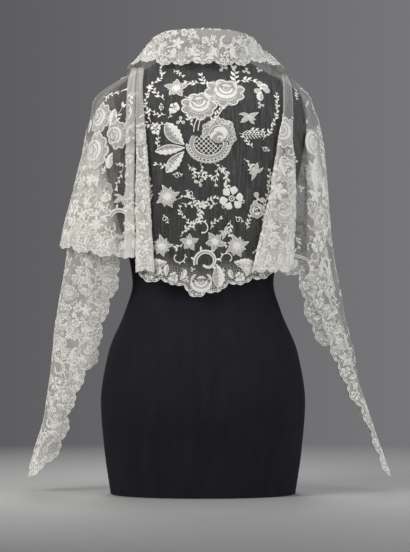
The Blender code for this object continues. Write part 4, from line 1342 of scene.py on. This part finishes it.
def drawn(stretch, motifs, sprays=(), where=lambda *place: place, grown=1):
    """A stretch's lace with the flowers and sprays of its tables, whose places where turns into flat ones."""
    lace = Lace(stretch)
    for motif, across, height, turn, room in motifs:
        lace.put(motif, where(across, height), turn, room)
    for length, leaves, size, bend, across, height, turn in sprays:
        lace.put(spray(length, leaves, grown * size, bend), where(across, height), turn, SPRAY_ROOM)
    return lace


def back_lace(stretch):
    lace, hem = drawn(stretch, BACK_MOTIFS, BACK_SPRAYS, grown=BACK_SPRAY_LEAVES), stretch.hems[0]
    for length, bend, across, height, turn in BACK_FERNS:
        lace.put(fern(length, bend), (across, height), turn, SPRAY_ROOM)
    for places in BACK_CHAINS:
        lace.chain(places, *CHAIN_LEAVES)
    for places in BACK_STEMS:
        lace.trace(curve_through(places, STEM_STEP), 0.75)
    border(lace, hem, scrolls=False)

    def chance(spot):
        return BACK_HEM_FILLED * float(nearest(spot[None], hem.base[::6])[0] < BORDER_REACH)

    fill(lace, 12, chance, 3, kinds=SMALL_FILLERS)
    fill(lace, 30, lambda p: 0.5, 4, kinds=SPARSE)
    return lace


# The drapes' own flowers: motif, across and height of its middle, turn as seen from behind, room.
LEFT_MOTIFS = (
    (rose(25), 166, 612, 80, 22),
    (big_leaf(28, 15, 20, -1), 150, 600, 84, 8),
    (rose(23), 138, 585, 120, 21),
    (rose(29), 172, 560, 100, 26),
    (big_leaf(24, 13, 20), 186, 590, 100, 8),
    (big_leaf(26, 12, 30), 146, 556, 250, 5),
    (big_leaf(22, 12, -30), 152, 552, 300, 5),
    (lily(17), 130, 482, 200, 12),
    (scroll(22, 200, 170, True, 4), 132, 446, 0, 14),
    (star(13, 5), 182, 512, 0, 12),
    (daisy(13, 6), 208, 470, 0, 12),
    (star(15, 8), 172, 440, 0, 14),
)
LEFT_SPRAYS = (
    (28, 2, 11, 0, 141, 604, 84),
    (24, 4, 6, 10, 126, 682, 200),
    (38, 5, 7.5, 50, 162, 648, 10),
    (34, 5, 6.5, 40, 128, 530, 240),
    (26, 4, 6.5, -30, 158, 500, 280),
)
LEFT_END_MOTIFS = (
    (rose(15), 217, 330, 0, 14),
    (star(13, 5), 190, 301, 20, 12),
    (full_rose(14), 226, 282, 0, 13),
    (full_rose(13), 182, 240, 0, 13),
    (scroll(15, 300, 120, True, 4), 236, 205, 0, 14),
    (big_leaf(24, 11, 30), 210, 240, 250, 8),
    (star(12, 8), 206, 190, 0, 11),
    (daisy(11, 6), 232, 160, 0, 10),
    (scroll(15, 240, 60, True, 3), 250, 118, 0, 13),
    (six_dots(7.5), 240, 92, 0, 8),
    (six_dots(6.5), 258, 70, 0, 7),
)
RIGHT_MOTIFS = (
    (rose(33), -174, 576, 250, 28),
    (full_rose(16), -190, 612, 0, 12),
    (big_leaf(54, 33, 10), -184, 552, 262, 18),
    (big_leaf(50, 30, -16, -1), -172, 544, 284, 14),
    (big_leaf(34, 20, 10), -196, 520, 270, 10),
    (star(17, 5), -182, 488, 0, 13),
    (full_rose(18), -190, 452, 0, 16),
    (daisy(15, 6), -186, 408, 0, 13),
    (scroll(16, 300, 200, True, 4), -200, 374, 0, 15),
    (full_rose(13), -206, 336, 0, 12),
)
RIGHT_SPRAYS = (
    (30, 2, 10, 20, -170, 600, 96),
    (38, 5, 7, -30, -146, 664, 330),
    (30, 4, 7, 30, -182, 620, 40),
    (32, 5, 7, 10, -212, 330, 264),
    (30, 5, 7, -16, -220, 286, 262),
    (28, 4, 6, 16, -226, 246, 268),
)
BORDER_TOP = 640  # height below which a hem is bordered
BORDER_INSET = (10, 4)  # how far a border stops below a plain fold, and short of its ends along the hem
SPARSE_TOP = 660  # height below which lone sprays are scattered over the sides
CLOSE_NET = 0.29  # how much of the light the net stops where it is close
THIN_NET = 0.03  # how much more it stops everywhere on the sides
CREST_HIGHLIGHT = (0.2, 430, 0.20)  # painted highlight where the cloth turns side-on over the arm: how near the arm's side, above what height, and how much light it stops
CLOSE_BLUR = 14.0  # width over which close cloth thins out
TIP_CLOSE = (0.3, 220.0)  # how close an end's tip is, and over what height
FOLD_EDGE = 0.22  # share of a fold's laid out width from its middle to each turned edge
FOLD_CLOSEST = 0.85  # most of the light that a fold's net stops
# Height, and the distance out from the middle beyond which each side's cloth is close and full of lace.
LEFT_CLOSE = ((700, 260), (600, 200), (560, 178), (538, 168), (478, 152), (400, 136), (390, 0), (0, 0))
# Below height 325 the right side's reach jumps out of range, so the tail of its under layer keeps only its
# border and thin net: painted shade for the shade that tail lies in behind the front
RIGHT_CLOSE = ((700, 260), (610, 200), (585, 172), (540, 176), (345, 172), (325, 400), (0, 400))
RIGHT_END_CLOSE = ((700, 260), (610, 200), (585, 166), (540, 172), (430, 174), (390, 260), (0, 300))


def closeness(table, low=0.0):
    """How close the lace lies at a place, from a table, thinning out towards the tip of an end."""
    tip, rise = TIP_CLOSE

    def found(points):
        across, height = np.abs(points[:, 0]), points[:, 2]
        near = np.clip((across - smooth(table, height)[:, 0]) / CLOSE_BLUR + 0.5, 0, 1)
        return (low + (1 - low) * near) * np.clip(tip + height / rise, tip, 1)

    return found


def side_lace(stretch, body, motifs, sprays, close, seed):
    lace = drawn(stretch, motifs, sprays, body.from_behind)
    for edge in stretch.hems:
        border(lace, edge, *hem_run(edge))

    def chance(spot):
        return float(close(stretch.at(spot[None]))[0])

    fill(lace, 26, chance, seed, (1.25, 1.7))
    fill(lace, 14, lambda p: 0.9 * chance(p), seed + 3, (0.8, 1.05))
    fill(lace, 8, lambda p: 0.85 * chance(p), seed + 1, kinds=SMALL_FILLERS)
    fill(lace, 42, lambda p: 0.8 * float(p[1] < SPARSE_TOP), seed + 2, kinds=SPARSE)
    return lace


def gathered(stretch, close):
    """A stretch's gathers: close where its lace is, and a painted highlight where it turns over the arm."""

    def found(flat, points):
        # Painted highlight: the net stops more light, and so looks paler, where its surface turns side-on
        # over the arm
        crest_highlight = np.exp(-((stretch.slopes(flat)[2][:, 1] / CREST_HIGHLIGHT[0]) ** 2)) * (points[:, 2] > CREST_HIGHLIGHT[1])
        return CLOSE_NET * close(points) + CREST_HIGHLIGHT[2] * crest_highlight + THIN_NET

    return found


def fold_gather(top, foot, edge, edge_width):
    """A fold is sheer at its top and close at its foot, and closest at its two turned edges."""

    def found(flat, points):
        width, length = flat[:, 0].max(), -flat[:, 1].min()
        down = np.clip(-flat[:, 1] / length, 0, 1)
        middle = top + (foot - top) * np.clip(down * 1.7 - 0.4, 0, 1)
        turned_edge = np.exp(-(((np.abs(flat[:, 0] / width - 0.5) - FOLD_EDGE) / edge_width) ** 2))
        return np.clip(middle + edge * turned_edge, 0, FOLD_CLOSEST)

    return found


# How close each fold's net is at its top, at its foot and at its turned edges, and those edges' width.
FOLD_GATHERS = {
    "fold_left_outer": (0.20, 0.56, 0.34, 0.05),
    "fold_left_inner": (0.18, 0.56, 0.34, 0.05),
    "fold_right": (0.04, 0.56, 0.38, 0.032),
}


def hem_run(edge):
    """The lengths between which an edge is bordered: below the shoulder, and where it is scalloped."""
    short, ends = BORDER_INSET
    low = edge.along[edge.base[:, 1] < min(BORDER_TOP, edge.plain_above - short)]
    return float(low[0]) + ends, float(low[-1]) - ends


# The folds' own flowers: motif, how far across and down the fold laid flat, turn, room.
FOLD_MOTIFS = {
    "fold_right": (
        (rose(24), 80, -112, 80, 22),
        (full_rose(18), 64, -172, 0, 16),
        (big_leaf(26, 14, 20), 92, -150, 280, 8),
        (star(17, 5), 92, -206, 0, 14),
        (rose(20), 62, -240, 30, 18),
        (star(13, 8), 96, -262, 0, 12),
    ),
    "fold_left_inner": (
        (rose(13), 34, -130, 80, 12),
        (full_rose(11), 33, -212, 0, 10),
        (star(11, 5), 35, -270, 0, 10),
    ),
    "fold_left_outer": ((spray(30, 5, 7, 10), 20, -60, 268, 6), (full_rose(8), 20, -170, 0, 8)),
}


def fold_lace(stretch, seed):
    lace = drawn(stretch, FOLD_MOTIFS[stretch.name])
    border(lace, stretch.hems[0], scrolls=False)
    length = -stretch.outline[:, 1].min()

    def chance(spot):
        return float(np.clip(2.2 * (-spot[1] / length - 0.22), 0, 1))

    fill(lace, 19, chance, seed, (1.0, 1.3))
    fill(lace, 9, lambda p: 0.9 * chance(p), seed + 1, kinds=SMALL_FILLERS)
    return lace


# The collar's own flowers: motif, how far along it to the left and how far down its fall, turn, room.
COLLAR_MOTIFS = (
    (full_rose(15), 104, 22, 0, 14),
    (rose(13), -92, 24, 10, 13),
    (scroll(16, 260, 200, True, 3), -36, 18, 180, 14),
    (star(12, 5), 40, 24, 0, 11),
)


def collar_lace(stretch):
    lace = drawn(stretch, COLLAR_MOTIFS)
    border(lace, stretch.hems[0], scrolls=False)
    fill(lace, 14, lambda p: float(p[1] > 2), 71, (0.7, 0.95))
    fill(lace, 8, lambda p: 0.7 * float(p[1] > 1), 72, kinds=SMALL_FILLERS)
    return lace


# ---------------------------------------------------------------- materials
class Nodes:
    """The nodes of a material or of the backdrop, with helpers that add them and link them."""

    def __init__(self, owner, shader="Principled BSDF"):
        owner.use_nodes = True
        self.owner, self.tree = owner, owner.node_tree
        self.shader = self.tree.nodes[shader]

    def add(self, kind, inputs=(), **settings):
        node = self.tree.nodes.new(kind)
        for key, value in settings.items():
            setattr(node, key, value)
        for key, value in dict(inputs).items():
            self.set(node.inputs[key], value)
        return node

    def set(self, socket, value):
        if isinstance(value, bpy.types.NodeSocket):
            self.tree.links.new(value, socket)
        else:
            socket.default_value = value

    def look(self, settings):
        for key, value in settings.items():
            self.set(self.shader.inputs[key], value)

    def math(self, operation, first, second=0.0, clamp=False):
        terms = {0: first, 1: second}
        return self.add("ShaderNodeMath", terms, operation=operation, use_clamp=clamp).outputs[0]

    def flat(self, scale=(1, 1, 1), turn=0.0):
        place = self.add("ShaderNodeAttribute", attribute_name="flat").outputs["Vector"]
        mapped = self.add("ShaderNodeMapping", {"Vector": place, "Scale": scale, "Rotation": (0, 0, turn)})
        return mapped.outputs["Vector"]

    def noise(self, vector, scale, detail=2.0):
        settings = {"Vector": vector, "Scale": scale, "Detail": detail}
        return self.add("ShaderNodeTexNoise", settings).outputs["Fac"]

    def cells(self, scale, randomness):
        """Distance to the nearest thread of an uneven mesh of the given scale."""
        settings = {"Vector": self.flat(), "Scale": scale, "Randomness": randomness}
        mesh = self.add("ShaderNodeTexVoronoi", settings, feature="DISTANCE_TO_EDGE")
        mesh.voronoi_dimensions = "2D"
        return mesh.outputs["Distance"]

    def wave(self, vector, scale, distortion, direction="X"):
        settings = {"Vector": vector, "Scale": scale, "Distortion": distortion}
        return self.add("ShaderNodeTexWave", settings, bands_direction=direction).outputs["Fac"]

    def blend(self, factor, first, second):
        colours = {"Factor": factor, "A": first, "B": second}
        return self.add("ShaderNodeMix", colours, data_type="RGBA").outputs["Result"]

    def bump(self, height, strength, distance):
        settings = {"Height": height, "Strength": strength, "Distance": distance}
        return self.add("ShaderNodeBump", settings).outputs["Normal"]

    def attribute(self, name):
        return self.add("ShaderNodeAttribute", attribute_name=name).outputs["Fac"]

    def spread(self, value, low, high, to_low=0.0, to_high=1.0):
        ends = {"Value": value, "From Min": low, "From Max": high, "To Min": to_low, "To Max": to_high}
        return self.add("ShaderNodeMapRange", ends).outputs["Result"]


NET_TONES = ((0.88, 0.87, 0.83, 1), (0.87, 0.85, 0.785, 1))  # where it is sheer, and where it is gathered: the warmer cream there is painted bounce light between close layers
LACE_TONES = ((0.95, 0.945, 0.91, 1), (0.90, 0.88, 0.81, 1))  # its mottling's two colours
LACE_STITCH_SHADE = (0.68, 0.66, 0.60, 1)  # painted shade between its stitches
COVER_TONES = ((0.0085, 0.0085, 0.0125, 1), (0.014, 0.014, 0.020, 1))
MESH, BARS, STITCHES, WEAVE = 0.62, 0.24, 0.32, 320.0  # scales of the net, bars, stitches and cover


def net_material():
    """Fine net of threads a fraction of a millimetre thick, gathered in streaks, with bars in the borders."""
    n = Nodes(bpy.data.materials.new("lace_net"))
    threads = n.spread(n.cells(MESH, 0.35), 0.05, 0.12, 0.19, 0.01)
    streaks = n.spread(n.noise(n.flat((0.40, 0.022, 1)), 1.0, 4), 0.3, 0.7, 0.45, 1.6)
    brides = n.spread(n.cells(BARS, 0.9), 0.045, 0.085, 0.5, 0.0)
    cover = n.attribute("cover")
    held = n.math("MULTIPLY", brides, n.spread(cover, 0.15, 0.6))
    gather = n.attribute("gather")
    pleats = n.spread(n.noise(n.flat((0.16, 0.02, 1)), 1.0, 2), 0.3, 0.7, 0.75, 1.2)
    fine = n.math("MULTIPLY", threads, streaks)
    close = n.math("ADD", n.math("MULTIPLY", gather, pleats), n.math("MULTIPLY", cover, 0.10))
    alpha = n.math("ADD", n.math("MAXIMUM", fine, held), close, clamp=True)
    # Random tone from noise, plus painted bounce light: the net turns warmer cream where it is gathered
    mottle_and_bounce = n.math("ADD", n.noise(n.flat(), 0.03), n.math("MULTIPLY", gather, 0.9), clamp=True)
    tone = n.blend(mottle_and_bounce, *NET_TONES)
    n.look({"Alpha": alpha, "Base Color": tone, "Roughness": 0.85, "Specular IOR Level": 0.2})
    return n.owner


def lace_material():
    """Needle lace: close stitches in rows where it is dense, and open stitches where it is light."""
    n = Nodes(bpy.data.materials.new("needle_lace"))
    rows, cross = (n.wave(n.flat(turn=turn), STITCHES, 1.6) for turn in (0.5, -1.0))
    stitch = n.math("MULTIPLY", rows, cross)
    dense = n.attribute("dense")
    holes = n.spread(stitch, 0.1, 0.45, 0.35, 1.0)
    open_work = n.spread(dense, 0.5, 1.0, 0.0, 1.0)
    light_work = n.math("MULTIPLY", holes, n.spread(dense, 0.3, 0.9, 0.62, 1.0))
    alpha = n.math("MAXIMUM", light_work, open_work, clamp=True)
    mottle = n.spread(n.noise(n.flat(), 0.12, 4), 0.35, 0.7)
    # The colour darkens between the stitches: painted shade in the hollows there
    shade = n.blend(n.spread(stitch, 0.0, 0.5, 0.75, 1.0), LACE_STITCH_SHADE, n.blend(mottle, *LACE_TONES))
    n.look({"Alpha": alpha, "Base Color": shade, "Normal": n.bump(stitch, 0.35, 0.0003)})
    n.look({"Roughness": 0.8, "Specular IOR Level": 0.25, "Sheen Weight": 0.15})
    return n.owner


def cover_material():
    """The form's dark cover: a fine plain weave with faint slubs."""
    n = Nodes(bpy.data.materials.new("form_cover"))
    place = n.add("ShaderNodeTexCoord").outputs["Object"]
    cloth = n.math("MULTIPLY", *(n.wave(place, WEAVE, 0.6, direction) for direction in "ZX"))
    long_way = n.add("ShaderNodeMapping", {"Vector": place, "Scale": (60, 60, 12)}).outputs["Vector"]
    slub = n.noise(long_way, 1.0, 4)
    tone, rough = n.blend(n.spread(slub, 0.35, 0.7), *COVER_TONES), n.spread(slub, 0.3, 0.7, 0.75, 0.92)
    n.look({"Base Color": tone, "Normal": n.bump(cloth, 0.3, 0.0004)})
    n.look({"Roughness": rough, "Specular IOR Level": 0.16})
    return n.owner


# ---------------------------------------------------------------- the form
def form_shell():
    """The form's cover, lofted more finely than its solid."""
    low, high = FORM_ROWS[0][0], FORM_ROWS[-1][0]
    levels = np.linspace(low, high, FORM_GRID[0])
    turns = np.linspace(0, 2 * math.pi, FORM_GRID[1], endpoint=False)
    rows = [(z, *values) for z, values in zip(levels, smooth(FORM_ROWS, levels))]
    (rise, narrowed), last = NECK_RIM, rows[-1]
    for share in (0.5, 1.0):
        reaches = (v * (1 - (1 - narrowed) * share) for v in last[1:4])
        rows.append((high + rise * math.sin(share * math.pi / 2), *reaches, last[4]))
    points = []
    for z, half, back, front, square in rows:
        x, y = on_ring(turns, half, back, front, square)
        points += [(a, b, z) for a, b in zip(x, y)]
    count, faces = len(turns), []
    for k in range(len(rows) - 1):
        for i in range(count):
            j = (i + 1) % count
            faces.append((k * count + i, k * count + j, (k + 1) * count + j, (k + 1) * count + i))
    faces.append(tuple(reversed(range(count))))
    faces.append(tuple(range(len(points) - count, len(points))))
    form = new_mesh("form_cover", points, faces)
    form.data.set_sharp_from_angle(angle=math.radians(50))
    return form


# ---------------------------------------------------------------- camera, lights, floor
PHOTO = (410, 552)  # the picture's width and height
PIXEL = 1.63  # millimetres of the shawl for each of its pixels
MIDDLE = (203.0, 495.0)  # its column at the form's middle, and its row at the form's base
DISTANCE = 4200.0  # from the form's middle to the camera
FOCUS_DEPTH = 40.0  # how far behind the form's middle the picture's scale holds
SENSOR = 24.0  # height of the camera's picture, in millimetres of its own
FLOOR_RADIUS = 1300.0
FLOOR_TONES = ((0.30, 0.30, 0.30, 1), (0.34, 0.34, 0.335, 1))
WALL_TONES = ((0.200, 0.200, 0.207, 1), (0.092, 0.091, 0.097, 1))  # right and left of the picture
AIM = Vector((0, 0, 0.4))  # what the lights face
# Each light's name, place in metres, width, power and colour.
LIGHTS = (
    ("key", (2.45, 1.85, 2.1), 1.6, 90, (1, 0.985, 0.96)),
    ("fill", (-2.45, 1.7, 1.3), 1.8, 46, (0.97, 0.98, 1)),
    ("front", (0.4, -2.6, 1.9), 1.8, 44, (1, 1, 1)),
    ("top", (0, 0.2, 2.8), 1.4, 16, (1, 1, 1)),
)


def studio():
    across = (MIDDLE[0] - PHOTO[0] / 2) * PIXEL
    height = (MIDDLE[1] - PHOTO[1] / 2) * PIXEL
    data = bpy.data.cameras.new("camera")
    camera = bpy.data.objects.new("camera", data)
    bpy.context.scene.collection.objects.link(camera)
    camera.location = Vector((across, DISTANCE, height)) * MM
    camera.rotation_euler = (math.pi / 2, 0, math.pi)
    data.sensor_fit = "VERTICAL"
    data.sensor_height = SENSOR
    data.lens = SENSOR * (DISTANCE - FOCUS_DEPTH) / (PHOTO[1] * PIXEL)
    data.clip_end = 100
    bpy.context.scene.camera = camera
    bpy.context.scene.view_settings.view_transform = "Standard"

    world = bpy.data.worlds.new("studio")
    bpy.context.scene.world = world
    n = Nodes(world, "Background")
    place = n.add("ShaderNodeTexCoord").outputs["Generated"]
    sideways = n.add("ShaderNodeSeparateXYZ", {0: place}).outputs["X"]
    n.look({"Color": n.blend(n.spread(sideways, -0.12, 0.12), *WALL_TONES)})

    for name, place, size, power, tint in LIGHTS:
        data = bpy.data.lights.new(name, "AREA")
        data.size, data.energy, data.color = size, power, tint
        light = bpy.data.objects.new(name, data)
        bpy.context.scene.collection.objects.link(light)
        light.location = place
        light.rotation_euler = (AIM - Vector(place)).to_track_quat("-Z", "Y").to_euler()

    n = Nodes(bpy.data.materials.new("floor"))
    spot = n.add("ShaderNodeTexCoord").outputs["Object"]
    tone = n.blend(n.noise(spot, 3.0), *FLOOR_TONES)
    away = n.add("ShaderNodeVectorMath", {0: spot}, operation="LENGTH").outputs["Value"]
    n.look({"Base Color": tone, "Alpha": n.spread(away, 0.35, 1.25, 1.0, 0.0), "Roughness": 0.8})
    turns = np.linspace(0, 2 * math.pi, 96, endpoint=False)
    rim = np.column_stack([FLOOR_RADIUS * ways(turns), np.full(len(turns), -0.5)])
    floor = new_mesh("floor", rim, [tuple(range(len(rim)))])
    floor.data.materials.append(n.owner)


SOLIDS = {"back": "back_panel"}  # the one stretch that isn't named as its solid
COLLAR_GATHER = 0.2  # how much of the light the collar's net stops


def dressed():
    """Every stretch with its lace, and how closely its net is gathered."""
    left_body = Drape(mantle_rows(1), 1, MANTLE_SQUARE, RIPPLES_LEFT)
    right_rows = [row for row in mantle_rows(-1) if row[0] > SIDE_RIGHT_TAIL[0][0] + 20]
    right_body = Drape([*right_rows, *SIDE_RIGHT_TAIL], -1, MANTLE_SQUARE, RIPPLES_RIGHT)
    left_front = Drape(FRONT_LEFT_ROWS, 1, SIDE_SQUARE, RIPPLES_LEFT)
    right_front = Drape(FRONT_RIGHT_ROWS, -1, SIDE_SQUARE, RIPPLES_RIGHT)
    last = NECK_LINE[-1][0]
    left_hems = (SIDE_LEFT_HEM, SIDE_LEFT_HEM_FRONT, SIDE_LEFT_FRONT, last)
    right_hems = (SIDE_RIGHT_HEM, SIDE_RIGHT_HEM_FRONT, SIDE_RIGHT_FRONT, last, UNDER_DROP)
    left_plain, right_plain = FRONT_PLAIN_ABOVE
    left_turns, right_turns = ((start, last) for start in FRONT_TURNS)
    left_end = (LEFT_BACK_EDGE, left_plain, LEFT_FRONT_EDGE, left_turns, UNDER_DROP)
    right_end = (RIGHT_BACK_EDGE, right_plain, RIGHT_FRONT_EDGE, right_turns)
    left_close, right_close = closeness(LEFT_CLOSE), closeness(RIGHT_CLOSE)
    end_close = closeness(RIGHT_END_CLOSE, 0.06)

    back = back_stretch(left_body, right_body)
    pieces = [(back, back_lace(back), lambda flat, points: np.zeros(len(flat)))]
    side_left = side_stretch("side_left", left_body, SEAM_LEFT, *left_hems)
    side_right = side_stretch("side_right", right_body, SEAM_RIGHT, *right_hems)
    end_left = front_stretch("front_left", left_front, *left_end)
    end_right = front_stretch("front_right", right_front, *right_end)
    sides = (
        (side_left, left_body, LEFT_MOTIFS, LEFT_SPRAYS, left_close),
        (side_right, right_body, (), (), right_close),
        (end_left, left_front, LEFT_END_MOTIFS, (), left_close),
        (end_right, right_front, RIGHT_MOTIFS, RIGHT_SPRAYS, end_close),
    )
    for i, (stretch, body, motifs, sprays, close) in enumerate(sides):
        lace = side_lace(stretch, body, motifs, sprays, close, 11 + 10 * i)
        pieces.append((stretch, lace, gathered(stretch, close)))
    collar = collar_stretch(left_body, right_body, right_front)
    pieces.append((collar, collar_lace(collar), lambda flat, points: np.full(len(flat), COLLAR_GATHER)))
    for i, (name, table) in enumerate(FOLDS):
        fold = fold_stretch(name, table)
        pieces.append((fold, fold_lace(fold, 50 + 2 * i), fold_gather(*FOLD_GATHERS[name])))
    return pieces


def main():
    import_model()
    pieces = dressed()
    net, needle = net_material(), lace_material()
    for stretch, lace, density in pieces:
        cloth, work = shell(stretch, density), lace.build()
        cloth.data.materials.append(net)
        work.data.materials.append(needle)
        for piece in (cloth, work):
            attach(piece, "root")
        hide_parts(SOLIDS.get(stretch.name, stretch.name))
        low, high = stretch.outline.min(axis=0), stretch.outline.max(axis=0)
        area = sum(f.area for f in cloth.data.polygons)
        width, length = (high - low) * MM
        length = max(length, area / width)
    form = form_shell()
    form.data.materials.append(cover_material())
    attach(form, "root")
    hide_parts("dress_form")
    studio()


main()
